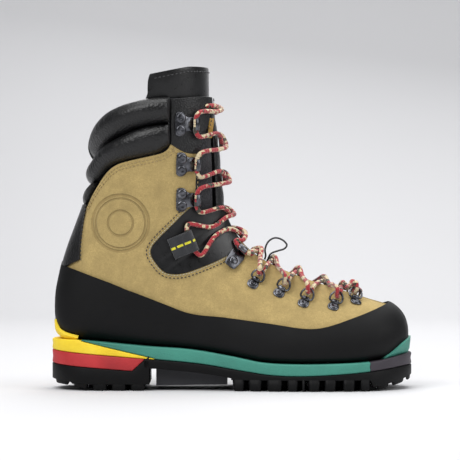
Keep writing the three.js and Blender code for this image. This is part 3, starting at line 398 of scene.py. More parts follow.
def curve_through(points, step):
    """A centripetal Catmull-Rom line through points, sampled every step millimetres."""
    p = np.array(points, float)
    p = np.vstack([2 * p[0] - p[1], p, 2 * p[-1] - p[-2]])
    t = np.r_[0, np.cumsum(np.linalg.norm(np.diff(p, axis=0), axis=1) ** 0.5)]
    out = []
    for i in range(1, len(p) - 2):
        u = np.linspace(t[i], t[i + 1], 24, endpoint=False)[:, None]

        def mix(a, b, ta, tb):
            return a * (tb - u) / (tb - ta) + b * (u - ta) / (tb - ta)
        a1, a2, a3 = (mix(p[k], p[k + 1], t[k], t[k + 1]) for k in (i - 1, i, i + 1))
        b1, b2 = mix(a1, a2, t[i - 1], t[i + 1]), mix(a2, a3, t[i], t[i + 2])
        out.append(mix(b1, b2, t[i], t[i + 1]))
    dense = np.vstack(out + [p[-2:-1]])
    return polyline(dense, max(8, int(np.linalg.norm(np.diff(dense, axis=0), axis=1).sum() / step)), False)


def tube(path, radius, sides, flat=1.0):
    """Rings of a round or flattened tube along a path; radius may change along it."""
    _, a, b = frames_along(path)
    angle = np.linspace(0, 2 * np.pi, sides, endpoint=False)
    r = np.broadcast_to(radius, len(path))[:, None, None]
    return path[:, None] + r * (np.cos(angle)[None, :, None] * a[:, None]
                                + flat * np.sin(angle)[None, :, None] * b[:, None])


def tube_uv(path, sides):
    """Length along the tube and share round it, for a pattern that follows the tube."""
    far = np.r_[0, np.cumsum(np.linalg.norm(np.diff(path, axis=0), axis=1))]
    round_it = np.arange(sides) / sides
    return np.stack(np.broadcast_arrays(far[:, None] / 1000, round_it[None]), -1)


def stitches(name, seams, material, length=2.1, space=1.1, radius=0.42, body="boot"):
    """Thread along seams; a seam is (points, normals). Each stitch is a short spindle that dips at its ends."""
    ring = np.linspace(0, 2 * np.pi, 6, endpoint=False)
    along = np.array([-0.5, -0.42, -0.2, 0.2, 0.42, 0.5])
    thick = np.array([0.25, 0.8, 1, 1, 0.8, 0.25])
    lift = np.array([-0.5, 0.1, 0.4, 0.4, 0.1, -0.5])
    corners = len(along) * len(ring)
    sides = np.array(grid_faces(len(along), len(ring), wrap=True))
    ends = np.array([[5, 4, 3, 2, 1, 0], [30, 31, 32, 33, 34, 35]])
    points, faces, start = [], [], 0
    for path, normals in seams:
        both = polyline(np.hstack([path, normals]), max(3, int(
            np.linalg.norm(np.diff(path, axis=0), axis=1).sum() / (length + space))), False)
        here, out = both[:, :3], both[:, 3:]
        out = out / np.linalg.norm(out, axis=1, keepdims=True)
        ahead = np.gradient(here, axis=0)
        ahead /= np.linalg.norm(ahead, axis=1, keepdims=True)
        across = np.cross(ahead, out)
        p = (here[:, None, None] + along[None, :, None, None] * length * ahead[:, None, None]
             + radius * (lift[None, :, None, None] * out[:, None, None]
                         + thick[None, :, None, None] * (np.cos(ring)[None, None, :, None] * across[:, None, None]
                                                         + np.sin(ring)[None, None, :, None] * out[:, None, None])))
        first = start + corners * np.arange(len(here))[:, None, None]
        faces += (sides + first).reshape(-1, 4).tolist()
        faces += (ends + first).reshape(-1, 6).tolist()
        points.append(p.reshape(-1, 3))
        start += corners * len(here)
    piece = mesh_object(name, np.concatenate(points), faces, material)
    outward(piece.data)
    if body:
        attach(piece, body)
    return piece


def seam_on(line, inward, offset):
    """A seam beside an (at, turn) line: moved inward millimetres across the surface, lifted by offset."""
    p = skin(line[:, 0], line[:, 1], offset)
    n = skin_normal(line[:, 0], line[:, 1], 0.0)
    ahead = np.gradient(p, axis=0)
    ahead /= np.maximum(np.linalg.norm(ahead, axis=1, keepdims=True), 1e-9)
    return p + np.cross(n, ahead) * inward, n


def keep(piece, body, slot, *nodes):
    """The piece rides on a body and stands for CAD nodes, which are hidden. The slot is not used."""
    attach(piece, body)
    if nodes:
        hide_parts(*nodes)
    return piece


# ---- materials ----------------------------------------------------------

def linear(code):
    """An sRGB hex value as linear red, green, blue, alpha."""
    values = [int(code[i:i + 2], 16) / 255 for i in (1, 3, 5)]
    return [v / 12.92 if v <= 0.04045 else ((v + 0.055) / 1.055) ** 2.4 for v in values] + [1.0]


def shade(colour, factor):
    """A linear colour made lighter or darker, as an sRGB hex code."""
    value = np.clip(np.array(colour[:3]) * factor, 0, 1)
    value = np.where(value < 0.0031308, value * 12.92, 1.055 * value ** (1 / 2.4) - 0.055)
    return "#" + "".join(f"{int(round(v * 255)):02x}" for v in value)


def add_node(tree, kind, inputs=None, **settings):
    """A node with its settings, and its inputs set to values or linked to sockets."""
    made = tree.nodes.new(kind)
    for key, value in settings.items():
        setattr(made, key, value)
    for key, value in (inputs or {}).items():
        if isinstance(value, bpy.types.NodeSocket):
            tree.links.new(value, made.inputs[key])
        else:
            made.inputs[key].default_value = value
    return made


class Finish:
    """A material being made: its node tree, its shader, and Object coordinates."""

    def __init__(self, name, roughness=0.5, **sockets):
        self.material = bpy.data.materials.new(name)
        self.material.use_nodes = True
        self.tree = self.material.node_tree
        self.shader = self.tree.nodes["Principled BSDF"]
        self.shader.inputs["Roughness"].default_value = roughness
        for key, value in sockets.items():
            self.shader.inputs[key.replace("_", " ")].default_value = value
        coordinates = self.add("ShaderNodeTexCoord")
        self.place, self.uv = coordinates.outputs["Object"], coordinates.outputs["UV"]

    def add(self, kind, inputs=None, **settings):
        """A node in this material's tree."""
        return add_node(self.tree, kind, inputs, **settings)

    def noise(self, size, detail=3.0, at=None, rough=0.5):
        """Noise whose features are about size millimetres across."""
        return self.add("ShaderNodeTexNoise", {"Vector": at or self.place, "Scale": 1000 / size, "Detail": detail,
                                               "Roughness": rough}).outputs["Fac"]

    def cells(self, size, at=None, feature="F1", out="Distance"):
        """Voronoi cells about size millimetres across."""
        return self.add("ShaderNodeTexVoronoi", {"Vector": at or self.place, "Scale": 1000 / size},
                        feature=feature).outputs[out]

    def math(self, operation, a, b=0.0, c=0.0):
        """The output of a math node."""
        return self.add("ShaderNodeMath", {0: a, 1: b, 2: c}, operation=operation).outputs[0]

    def ramp(self, value, *stops):
        """A colour ramp over position, colour pairs."""
        made = self.add("ShaderNodeValToRGB", {"Fac": value})
        elements = made.color_ramp.elements
        while len(elements) < len(stops):
            elements.new(0.5)
        for element, (position, colour) in zip(elements, stops):
            element.position, element.color = position, linear(colour)
        return made.outputs["Color"]

    def range(self, value, low, high, to_low, to_high):
        """A value mapped from one range to another and held inside it."""
        return self.add("ShaderNodeMapRange", {"Value": value, "From Min": low, "From Max": high, "To Min": to_low,
                                               "To Max": to_high}).outputs["Result"]

    def mix(self, share, first, second, blend="MIX"):
        """Two colours mixed by share; each is a socket, a hex code or a linear colour."""
        made = self.add("ShaderNodeMix", {0: share}, data_type="RGBA", blend_type=blend)
        for index, value in ((6, first), (7, second)):
            if isinstance(value, bpy.types.NodeSocket):
                self.tree.links.new(value, made.inputs[index])
            else:
                made.inputs[index].default_value = linear(value) if isinstance(value, str) else value
        return made.outputs[2]

    def colour(self, socket):
        """Takes the base colour from a socket."""
        self.tree.links.new(socket, self.shader.inputs["Base Color"])

    def rough(self, socket):
        """Takes the roughness from a socket."""
        self.tree.links.new(socket, self.shader.inputs["Roughness"])

    def bump(self, height, depth, under=None):
        """Relief depth millimetres deep."""
        inputs = {"Height": height, "Strength": 1.0, "Distance": depth / 1000}
        if under is not None:
            inputs["Normal"] = under
        made = self.add("ShaderNodeBump", inputs)
        self.tree.links.new(made.outputs["Normal"], self.shader.inputs["Normal"])
        return made.outputs["Normal"]


def suede():
    """Nubuck suede: split cowhide sanded to a short nap. Patchy where the nap lies over, never shiny."""
    base = bpy.context.scene.boot_colours.suede
    f = Finish("sanded_suede", 0.93, Sheen_Weight=0.25, Sheen_Roughness=0.5)
    f.shader.inputs["Sheen Tint"].default_value = linear("#e6d3a4")
    f.shader.inputs["Specular IOR Level"].default_value = 0.25
    nap = f.noise(14, 5, rough=0.62)
    fibre = f.noise(0.9, 3, rough=0.7)
    tone = f.ramp(nap, (0.3, shade(base, 0.8)), (0.52, shade(base, 1.0)), (0.75, shade(base, 1.2)))
    grit = f.noise(2.2, 2, rough=0.6)
    speck = f.mix(f.range(fibre, 0.35, 0.7, 0.0, 0.6), tone, shade(base, 0.6))
    speck = f.mix(f.range(grit, 0.45, 0.75, 0.0, 0.5), speck, shade(base, 0.68))
    # A plain ring is pressed into the outer ankle: a groove at its radius, seen from the side. Besides its bump, the
    # groove is darkened in colour as painted shade.
    centred = f.add("ShaderNodeMapping", {"Vector": f.place, "Location": (0.0938, 0.0, -0.1401)}).outputs[0]
    apart = f.add("ShaderNodeSeparateXYZ", {"Vector": centred})
    reach = f.math("SQRT", f.math("ADD", f.math("MULTIPLY", apart.outputs["X"], apart.outputs["X"]),
                                  f.math("MULTIPLY", apart.outputs["Z"], apart.outputs["Z"])))
    outer = f.math("LESS_THAN", apart.outputs["Y"], 0.0)
    groove_and_painted_shade = None
    for radius, width in ((0.0236, 0.0011), (0.0208, 0.0006), (0.0105, 0.0008)):
        near = f.math("ABSOLUTE", f.math("SUBTRACT", reach, radius))
        ring = f.range(near, width * 0.5, width * 1.4, 1.0, 0.0)
        groove_and_painted_shade = ring if groove_and_painted_shade is None else f.math("MAXIMUM", groove_and_painted_shade, ring)
    groove_and_painted_shade = f.math("MULTIPLY", groove_and_painted_shade, outer)
    # Painted shade: inside the ring's grooves the suede colour is mixed towards a dark brown.
    f.colour(f.mix(f.math("MULTIPLY", groove_and_painted_shade, 0.45), speck, "#7d6840"))
    fine = f.bump(f.math("ADD", f.math("MULTIPLY", fibre, 0.5), nap), 0.35)
    f.bump(f.math("SUBTRACT", 1.0, groove_and_painted_shade), 0.9, fine)
    return f.material


def grained(name, base, light, grain, roughness, depth, coat=0.0):
    """Full-grain leather: cells of the hide's grain with creases between them, under a pigment finish."""
    f = Finish(name, roughness, Coat_Weight=coat, Coat_Roughness=0.3)
    f.shader.inputs["Specular IOR Level"].default_value = 0.3
    cell = f.cells(grain)
    crease = f.noise(grain * 6, 4)
    f.colour(f.mix(f.range(crease, 0.4, 0.75, 0.0, 1.0), base, light))
    f.rough(f.range(crease, 0.3, 0.7, roughness - 0.07, roughness + 0.1))
    f.bump(f.math("ADD", cell, f.math("MULTIPLY", crease, 0.6)), depth)
    return f.material


def rubber(name, base, dust, roughness, pebble=0.8, depth=0.12):
    """Moulded rubber: a matt skin with a fine spark-eroded mould texture and a little pale bloom."""
    f = Finish(name, roughness)
    f.shader.inputs["Specular IOR Level"].default_value = 0.18
    bloom = f.noise(22, 5)
    f.colour(f.mix(f.range(bloom, 0.45, 0.8, 0.0, 0.5), base, dust))
    f.rough(f.range(bloom, 0.3, 0.7, roughness - 0.06, roughness + 0.08))
    f.bump(f.noise(pebble, 2), depth)
    return f.material


def foam(name, base, dark, light):
    """Moulded polyurethane foam: an even skin with a pebbled mould grain and faint flow marks."""
    f = Finish(name, 0.62)
    flow = f.noise(30, 4)
    fine = f.cells(0.9)
    f.colour(f.ramp(flow, (0.3, dark), (0.5, base), (0.75, light)))
    f.rough(f.range(flow, 0.3, 0.7, 0.56, 0.7))
    f.bump(f.math("ADD", fine, f.math("MULTIPLY", flow, 0.4)), 0.14)
    return f.material


def gunmetal():
    """Blackened steel: stamped, tumbled and oxidised, so edges and rivet domes catch soft highlights."""
    f = Finish("blackened_steel", 0.32, Metallic=1.0)
    wear = f.noise(6.0, 3)
    f.colour(f.ramp(wear, (0.3, "#3e3f43"), (0.55, "#606166"), (0.8, "#8e8f94")))
    f.rough(f.range(wear, 0.3, 0.7, 0.22, 0.34))
    f.bump(f.noise(0.5, 2), 0.004)
    return f.material


def webbing():
    """Woven polyester tape: dark yarns with one row of yellow yarns that shows as dashes."""
    f = Finish("woven_tape", 0.85, Sheen_Weight=0.3)
    at = f.add("ShaderNodeSeparateXYZ", {"Vector": f.uv})
    along, over = at.outputs["X"], at.outputs["Y"]
    weave = f.math("MULTIPLY", f.math("SINE", f.math("MULTIPLY", along, 4800.0)),
                   f.math("SINE", f.math("MULTIPLY", over, 5200.0)))
    centre = f.math("LESS_THAN", f.math("ABSOLUTE", f.math("SUBTRACT", over, 0.009)), 0.001)
    dash = f.math("GREATER_THAN", f.math("SINE", f.math("MULTIPLY", along, 850.0)), -0.75)
    dark = f.mix(f.range(weave, -1, 1, 0.0, 1.0), "#131417", "#34363b")
    f.colour(f.mix(f.math("MULTIPLY", centre, dash), dark, "#e6de2a"))
    f.bump(weave, 0.25)
    return f.material


def lace_braid():
    """Braided polyester: a red ground with cream and black flecks where the carriers cross."""
    f = Finish("braided_lace", 0.8, Sheen_Weight=0.35)
    at = f.add("ShaderNodeSeparateXYZ", {"Vector": f.uv})
    along = f.math("MULTIPLY", at.outputs["X"], 2 * math.pi / 0.0046)
    turn = f.math("MULTIPLY", at.outputs["Y"], 6 * math.pi)
    left = f.math("SINE", f.math("ADD", along, turn))
    right = f.math("SINE", f.math("SUBTRACT", along, turn))
    # One fleck is about 3 mm long and a third of the way round; each takes one of the yarns' colours.
    cell = f.add("ShaderNodeMapping", {"Vector": f.uv, "Scale": (340.0, 3.0, 1.0)}).outputs[0]
    yarn = f.add("ShaderNodeTexVoronoi", {"Vector": cell, "Scale": 1.0, "Randomness": 0.7}).outputs["Color"]
    pick = f.add("ShaderNodeSeparateXYZ", {"Vector": yarn}).outputs["X"]
    ramp = f.add("ShaderNodeValToRGB", {"Fac": pick})
    ramp.color_ramp.interpolation = "CONSTANT"
    elements = ramp.color_ramp.elements
    for position in (0.36, 0.68):
        elements.new(position)
    for element, (position, colour) in zip(elements, ((0, "#a3212a"), (0.36, "#d3c19c"), (0.68, "#a3212a"),
                                                      (0.84, "#3a3426"))):
        element.position, element.color = position, linear(colour)
    f.colour(ramp.outputs["Color"])
    f.bump(f.math("MULTIPLY", left, right), 0.35)
    return f.material


def cloth(name, base, light, thread):
    """Knitted lining: small loops in rows, matt, with a brushed face."""
    f = Finish(name, 0.95, Sheen_Weight=0.3)
    loops = f.cells(thread)
    f.colour(f.mix(loops, base, light))
    f.bump(loops, 0.3)
    return f.material


def thread(name, colour, twist):
    """Bonded nylon thread: two plies twisted, a little glossy."""
    f = Finish(name, 0.5, Sheen_Weight=0.2)
    ply = f.noise(0.6, 1)
    f.colour(f.mix(ply, colour, twist))
    f.bump(ply, 0.1)
    return f.material


MATERIALS = {}


def finishes():
    """Every finish of the boot, made once."""
    if not MATERIALS:
        midsole = bpy.context.scene.boot_colours.midsole
        MATERIALS.update(
            suede=suede(),
            black=grained("pigmented_leather", "#060607", "#0e0e10", 1.7, 0.36, 0.45, 0.3),
            smooth=grained("smooth_leather", "#050506", "#0c0c0e", 0.9, 0.32, 0.12, 0.4),
            rand=rubber("calendered_rubber", "#0c0c0d", "#151517", 0.6, 0.7, 0.08),
            tread=rubber("carbon_tread_rubber", "#060607", "#0f0f11", 0.55, 0.9, 0.1),
            arch=rubber("grey_nylon", "#38383b", "#4a4a4d", 0.5, 0.9, 0.1),
            insert=rubber("grey_thermoplastic", "#403c42", "#524d54", 0.5, 1.0, 0.12),
            teal=foam("teal_polyurethane", *(shade(midsole, factor) for factor in (1, 0.84, 1.2))),
            yellow=foam("yellow_polyurethane", "#f6d62c", "#ecc822", "#fbe04a"),
            red=foam("red_eva_foam", "#b5282c", "#a12127", "#c63539"),
            metal=gunmetal(), tape=webbing(), braid=lace_braid(),
            lining=cloth("knitted_lining", "#141416", "#3a3a3f", 1.4),
            bed=cloth("footbed_felt", "#2c2c30", "#4c4c52", 1.1),
            board=rubber("fibre_board", "#3a3a3c", "#5a564e", 0.85, 0.5, 0.05),
            tan_thread=thread("tan_thread", "#7b6434", "#b59f6c"),
            black_thread=thread("black_thread", "#141415", "#2e2e31"),
            bright_thread=thread("bright_thread", "#8e8b7c", "#c9c4a8"),
            gold=cloth("gold_lining", "#8c6a1c", "#c99a2e", 0.8),
            cord=thread("keeper_cord", "#101012", "#2a2a2d"))
    return MATERIALS


# ---- sole ---------------------------------------------------------------

def below(line):
    """A line lowered by the gap between pieces."""
    return lambda x: line(x) - GAP


def brake_seat(x):
    """Top of the heel block: it rests level, then ramps up to the wedge."""
    foot = brake_base(RAMP_FOOT)
    ramp = foot + (wedge_base(RAMP_TOP) - foot) * (x - RAMP_FOOT) / (RAMP_TOP - RAMP_FOOT)
    return np.where(x < RAMP_FOOT, brake_base(x), ramp)


def sole_rings(x0, x1, top, base, inset=0.0, bevel=1.0, count=110, waist=0.0):
    """A layer of the sole: at each station from heel to toe, a loop up the outer edge, across the top,
    down the inner edge and back. Each level is the sole's outline brought in, so the corners are rounded."""
    s = (x0 + (x1 - x0) * (0.5 - 0.5 * np.cos(np.linspace(0, np.pi, count)))) / HALF
    s = np.clip(s, -0.99999, 0.99999)
    levels = [(0, 0, 1), (0, 0.3, 0.3), (0, 1, 0), (0.5, 0, -waist), (1, -1, 0), (1, -0.3, 0.3), (1, 0, 1)]
    lateral, medial = [], []
    for share, rise, cut in levels:
        brought = inset + (cut * bevel if cut >= 0 else -cut)
        x = s * (HALF - brought)
        low, high = base(x), top(x)
        radius = np.minimum(bevel, 0.42 * np.maximum(high - low, 0.05))
        z = low + (high - low) * share + rise * radius
        _, a, b = sole_edges(x, brought)
        lateral.append(np.stack([x, a, z], -1))
        medial.append(np.stack([x, b, z], -1))
    over = [lateral[-1] + (medial[-1] - lateral[-1]) * k for k in np.linspace(0, 1, 6)[1:-1]]
    under = [medial[0] + (lateral[0] - medial[0]) * k for k in np.linspace(0, 1, 6)[1:-1]]
    return np.stack(lateral + over + medial[::-1] + under, 1)


def tread_block(x0, x1, side, start, width, low, high, draft=1.3, cut=1.6):
    """A lug: its outline follows the sole's edge, with cut corners, and draws in towards the ground."""
    rings = []
    for t, z in ((draft + 0.7, 0), (draft, 0.7), (draft * 0.7, 2.5), (0, None)):
        a, b, near, far = x0 + t, x1 - t, t, width - t
        xs = np.r_[np.linspace(a + cut, b - cut, 5), b, b, b - cut, a + cut, a, a]
        ds = np.r_[[near] * 5, near + cut, far - cut, far, far, far - cut, near + cut]
        edge = sole_edges(xs)[1 if side < 0 else 2]
        height = high(xs) if z is None else low(xs) + z
        rings.append(np.stack([xs, edge - side * (start + ds), height], -1))
    return np.stack(rings)


def make_sole():
    """Tread, heel layers, midsole, toe welt and footbed; the hidden boards get a finish."""
    m = finishes()
    flat = np.zeros_like
    fore = lambda x: ground(x) + 9 - 6.2 * smoothstep(x, 115, 118)
    parts = [sole_rings(-HALF, -69.8, below(brake_seat), lambda x: flat(x) + 5 + 3.3 * smoothstep(-x, 120, 153),
                        bevel=0.8, count=60),
             sole_rings(-74, -0.8, lambda x: np.where(x < WEDGE_END, wedge_base(x), midsole_base(x)) - GAP,
                        lambda x: midsole_base(np.maximum(x, WEDGE_END)) - 8, bevel=1.2, count=50),
             sole_rings(-1, HALF, below(midsole_base), fore, bevel=0.8, count=90)]
    low_heel = lambda x: 5.3 * smoothstep(-x, 100, 153) ** 1.3
    high_fore, high_heel = lambda x: fore(x) + 1.5, lambda x: flat(x) + 7 + 2.5 * smoothstep(-x, 120, 153)
    edge_lugs = [(0, 10.4), (13, 25), (28.4, 42), (45.4, 55.2), (58.2, 60.4), (62.7, 73.6), (76.4, 87), (91.8, 102.8),
                 (106.4, 116), (120.4, 132), (133.2, 145.8), (146.8, 151.5)]
    for side in (-1, 1):
        for x0, x1 in edge_lugs:
            parts.append(tread_block(x0, x1, side, 0, 16 if x1 < 140 else 9, ground, high_fore,
                                     cut=min(1.6, (x1 - x0) / 5), draft=min(1.3, (x1 - x0) / 8)))
        for x0 in np.arange(6, 112, 15.5):
            parts.append(tread_block(x0, x0 + 10.5, side, 20, 15, ground, high_fore))
        for x0 in np.arange(-150, -74, 16):
            parts.append(tread_block(x0, x0 + 13.4, side, 0, 17, low_heel, high_heel))
        for x0 in np.arange(-138, -84, 16):
            parts.append(tread_block(x0, x0 + 9, side, 21, 12, low_heel, high_heel))
    keep(closed("outsole_tread", parts, m["tread"]), "boot", "tread_rubber", "outsole")
    layer = [sole_rings(-HALF, -74.3, below(wedge_base), brake_seat, 0, 1.1, 70, 0.5)]
    keep(closed("brake_layer", layer, m["red"]), "boot", "red_foam", "heel_brake")
    wedge_upper = lambda x: np.minimum(feather(x), wedge_top(x))
    layer = [sole_rings(-HALF, -65.6, wedge_upper, wedge_base, 0, 1.1, 80, 0.4)]
    keep(closed("wedge_layer", layer, m["yellow"]), "boot", "yellow_foam", "heel_wedge")
    under = lambda x: np.where(x < WEDGE_END, wedge_top(x) + GAP, midsole_base(x))
    keep(closed("midsole_body", [sole_rings(-127, 115.4, feather, under, 0, 1.3, 130, 0.7)], m["teal"]),
         "boot", "teal_foam", "midsole")
    keep(closed("toe_welt", [sole_rings(115.8, HALF, feather, midsole_base, 0, 1.3, 70, 0.7)], m["insert"]),
         "boot", "grey_plastic", "toe_insert")
    keep(closed("footbed_top", [sole_rings(-136, 130, lambda x: feather(x) + 15.4, lambda x: feather(x) + 11.5,
                                           13.5, 1.2, 60)], m["bed"]), "boot", "lining_cloth", "footbed")
    for node, finish in (("arch_shank", "arch"), ("insole_board", "board"), ("heel_counter", "board"),
                         ("toe_stiffener", "board")):
        paint(node, m[finish])


def paint(node, material):
    """A CAD node keeps its shape and gets a finish."""
    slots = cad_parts[node].data.materials
    slots.clear()
    slots.append(material)


# ---- upper --------------------------------------------------------------

THROAT_FROM, THROAT_MIDDLE, THROAT_HALF = 3.55, 4.0, 11.0


def edge_turn(at, side, half):
    """The turn at which the upper is half millimetres from the middle of the lace opening."""
    s = section(at)
    width = s["lateral"] if side < 0 else s["medial"]
    away = np.clip(half + side * (THROAT_MIDDLE - s["middle"]), 0, width * 0.98)
    return np.arcsin(np.clip(away / width, 0, 1) ** (1 / s["front_power"])) / np.pi


def throat(at, side):
    """The lace opening's edge: rounded at the toe end, then level with the opening's half width."""
    open_share = np.clip((at - THROAT_FROM) / 1.1, 0, 1)
    return edge_turn(at, side, THROAT_HALF * np.sqrt(1 - (1 - open_share) ** 2)) * (open_share > 0)


COLLAR_EDGE = [(-27.5, 199.5), (-40, 202), (-48, 205.5), (-51.3, 206), (-54, 201.8), (-59.5, 198.5), (-70.3, 195.8),
               (-80, 193.8), (-89.8, 191.4), (-96.5, 189.2), (-102.9, 185), (-108.5, 178.6), (-113.6, 170.9),
               (-118.5, 162.5), (-123, 152.5)]
FLEX_EDGE = [(-35.7, 152.6), (-42.2, 147), (-50.8, 138.3), (-61.6, 127.5), (-67.6, 119.9), (-68.3, 113.4),
             (-63.8, 105.8), (-57.3, 99.3), (-48.6, 97.4), (-37.7, 98.8), (-21.5, 104.6), (-8.5, 110.2), (1, 115.8)]


def suede_side(side):
    """One side of the suede upper, from the lace opening's edge (share 0) to the back or sole (share 1)."""
    columns = 70
    share = np.linspace(0, 1, columns)
    low_at = np.r_[np.linspace(1.2, THROAT_FROM, 10)[:-1], np.linspace(THROAT_FROM, 4.8, 22)[:-1],
                   np.linspace(4.8, SHAFT_FROM, 40)]
    start = throat(low_at, side)[:, None]
    low = np.stack(np.broadcast_arrays(low_at[:, None], start + (1 - start) * share), -1)
    top = on_side(COLLAR_EDGE, 1, columns)
    top[-1] = [top[-1, 0] - 0.05, 1.0]
    w = np.linspace(0, 1, 50)[1:, None]
    front = np.vstack([[SHAFT_FROM, float(throat(np.array(SHAFT_FROM), side))],
                       on_side([(-34.5, 149), (-31.2, 165), (-30.5, 182), (-27.5, 199.5)], 1, 12)])
    at = SHAFT_FROM + (top[:, 0] - SHAFT_FROM) * w
    start = np.interp(at[:, :1], front[:, 0], front[:, 1])
    far = (top[:, 1] - top[0, 1]) / (1 - top[0, 1])
    high = np.stack([at, start + (1 - start) * (share + (far - share) * w)], -1)
    return np.vstack([low, high]), top


def make_suede():
    """Suede upper with its edge stitching."""
    m = finishes()
    outer, tops = [], []
    for side in (-1, 1):
        grid, top = suede_side(side)
        outer.append(grid)
        tops.append(top)
    at = np.hstack([outer[0][..., 0], outer[1][:, ::-1, 0][:, 1:]])
    turn = np.hstack([-outer[0][..., 1], -2 + outer[1][:, ::-1, 1][:, 1:]])
    piece = leather_panel("suede_upper", at, turn, 0.0, LEATHER, m["suede"])
    keep(piece, "boot", "tan_suede", "vamp", "quarter_lateral", "quarter_medial")
    seams = []
    for side, top in zip((-1, 1), tops):
        line = top[10:] * [1, side]
        seams += [seam_on(line, -side * d, 0.05) for d in (2.6, 5.2)]
        shaft = on_side([(-31.4, 163), (-30.8, 182), (-28, 197)], side, 30)
        seams.append(seam_on(shaft, side * 2.4, 0.05))
    stitches("collar_edge_stitching", seams, m["tan_thread"])


def rand_lines():
    """The rand's top and bottom edges as (at, turn) from the heel round the outer side and toe and back."""
    sides = []
    x = np.linspace(-146, 134.3, 150)
    for side in (-1, 1):
        at, turn = locate(x, rand_line(x))
        turn[0], turn[-1] = 1, 0
        top = np.stack([at, turn * side], 1)
        xb = -139 + 286 * (0.5 - 0.5 * np.cos(np.linspace(0, np.pi, 150))) ** 0.95
        at, turn = locate(xb, feather(xb) + 3.4)
        turn = np.minimum(turn + 0.03, 1)
        at[0], turn[0] = 12.85, 1
        at[-1], turn[-1] = 0, 0
        sides.append((top, np.stack([at, turn * side], 1)))
    # The outer side runs heel to toe, then the inner side toe to heel.
    return [np.vstack([sides[0][k], sides[1][k][::-1][1:]]) for k in (0, 1)]


def make_rand():
    """Rubber rand, heel bumper and toe bumper."""
    m = finishes()
    top, bottom = rand_lines()
    at, turn = between(top, bottom, 18)
    keep(leather_panel("rubber_rand_wrap", at, turn, GAP + RAND, RAND, m["rand"], 0.7), "boot", "rand_rubber",
         "rubber_rand")
    # Heel bumper: a fin up the back of the heel, wide and thick on the ledge, narrow and thin at its top.
    at, turn = np.meshgrid(np.linspace(12.86, 14.17, 28), np.linspace(-1, 1, 61), indexing="ij")
    turn = -1 + turn * (0.2 - 0.115 * smoothstep(at, 12.9, 14.15))
    offset = 5.4 - 2.2 * smoothstep(at, 13.6, 14.3)
    keep(leather_panel("heel_ledge_bumper", at, turn, offset, 3.0, m["yellow"], 0.9), "boot", "yellow_foam",
         "heel_bumper")
    high = [(148.1, 43.4), (146, 43), (142.5, 41), (133, 33.8), (124.5, 28.4)]
    low = [(147.2, 33.2), (145.5, 32.6), (140, 31.2), (132, 29.2), (123.5, 27.6)]
    at, turn = between(both_sides(high, 40), both_sides(low, 40), 12)
    keep(leather_panel("toe_ledge_bumper", at, turn, GAP + RAND + 1.9, 1.8, m["teal"], 0.7), "boot", "teal_foam",
         "toe_bumper")


def make_overlays():
    """Flex panels, hook facings and the back strip: black leather laid on the suede."""
    m = finishes()
    seams, bright = [], []
    for name, side in (("lateral", -1), ("medial", 1)):
        rear = on_side(FLEX_EDGE, side, 90)
        at_front = np.linspace(14.4, 11.0, 90)
        ahead = side * edge_turn(at_front, side, THROAT_HALF + 0.2)
        top = on_side([(-34, 153.5), (-24, 151.5), (-13, 150)], side, 14)
        front = np.stack([at_front, ahead], 1)
        front = polyline(np.vstack([top[:-3], front[4:]]), 90, False)
        at, turn = between(rear, front, 40)
        i = np.linspace(0, 1, 40)[:, None]
        # Two creases cross the panel where the ankle bends.
        crease = 0.5 * np.exp(-((at - 12.6) / 0.16) ** 2) + 0.4 * np.exp(-((at - 13.5) / 0.14) ** 2)
        offset = 0.55 - crease * np.sin(np.pi * i) ** 0.6
        piece = leather_panel("ankle_flex_" + name, at, turn, offset, 1.6, m["smooth"], 0.35)
        keep(piece, "boot", "black_leather", "flex_panel_" + name)
        bright.append(seam_on(rear[2:-2], side * 1.0, 0.6))
        seams.append(seam_on(rear[2:-2], side * 3.4, 0.6))
        left = on_side([(-51.3, 206), (-51.4, 218), (-51.3, 231), (-51.3, 243.8)], side, 50)
        right = on_side([(-26.6, 198.8), (-25.5, 209.4), (-20, 225), (-17.3, 240), (-17.4, 246.4)], side, 50)
        at, turn = between(left, right, 30)
        k = np.linspace(0, 1, 30)[:, None]
        dip = np.linspace(1, 0, 50) ** 3
        at = at - 0.22 * np.sin(np.pi * k) * dip
        keep(leather_panel("hook_backing_" + name, at, turn, 0.6, 2.6, m["black"], 0.5), "boot", "black_leather",
             "hook_facing_" + name)
        seams.append(seam_on(right[2:-2], side * 2.2, 0.65))
        seams.append(seam_on(left[3:-1], -side * 2.0, 0.65))
    edge = on_side([(-130, 99.5), (-129.3, 115), (-127, 132), (-123.6, 150), (-123, 155.2)], 1, 40)
    edge[:, 0] = np.linspace(16.15, 18.95, 40)
    v = np.linspace(0, 1, 30)[None]
    turn = -edge[:, 1:] * (1 - v) + (-2 + edge[:, 1:]) * v
    keep(leather_panel("back_strip_cover", edge[:, :1] + 0 * turn, turn, GAP + 1.7, 1.6, m["black"], 0.5), "boot",
         "black_leather", "back_strip")
    for k in (0, 1):
        line = np.stack([edge[:, 0], np.where(k, -2 + edge[:, 1], -edge[:, 1])], 1)
        seams.append(seam_on(line, (-1.8, 1.8)[k], 2.05))
    stitches("overlay_stitching", seams, m["black_thread"])
    stitches("flex_edge_stitching", bright, m["bright_thread"], 1.8, 0.7, 0.36)


def roll_lines(points, side_points=60):
    """A collar line as (at, turn), from the outer front round the back to the inner front."""
    p = polyline(points, side_points)
    at, turn = locate(p[:, 0], p[:, 1])
    turn = np.maximum.accumulate(turn[::-1])[::-1]
    turn = turn + (1 - turn[0]) * np.linspace(1, 0, side_points) ** 6
    turn[0] = 1
    outer = np.stack([at, -turn], 1)[::-1]
    inner = np.stack([at, -2 + turn], 1)
    return np.vstack([outer, inner[1:]])


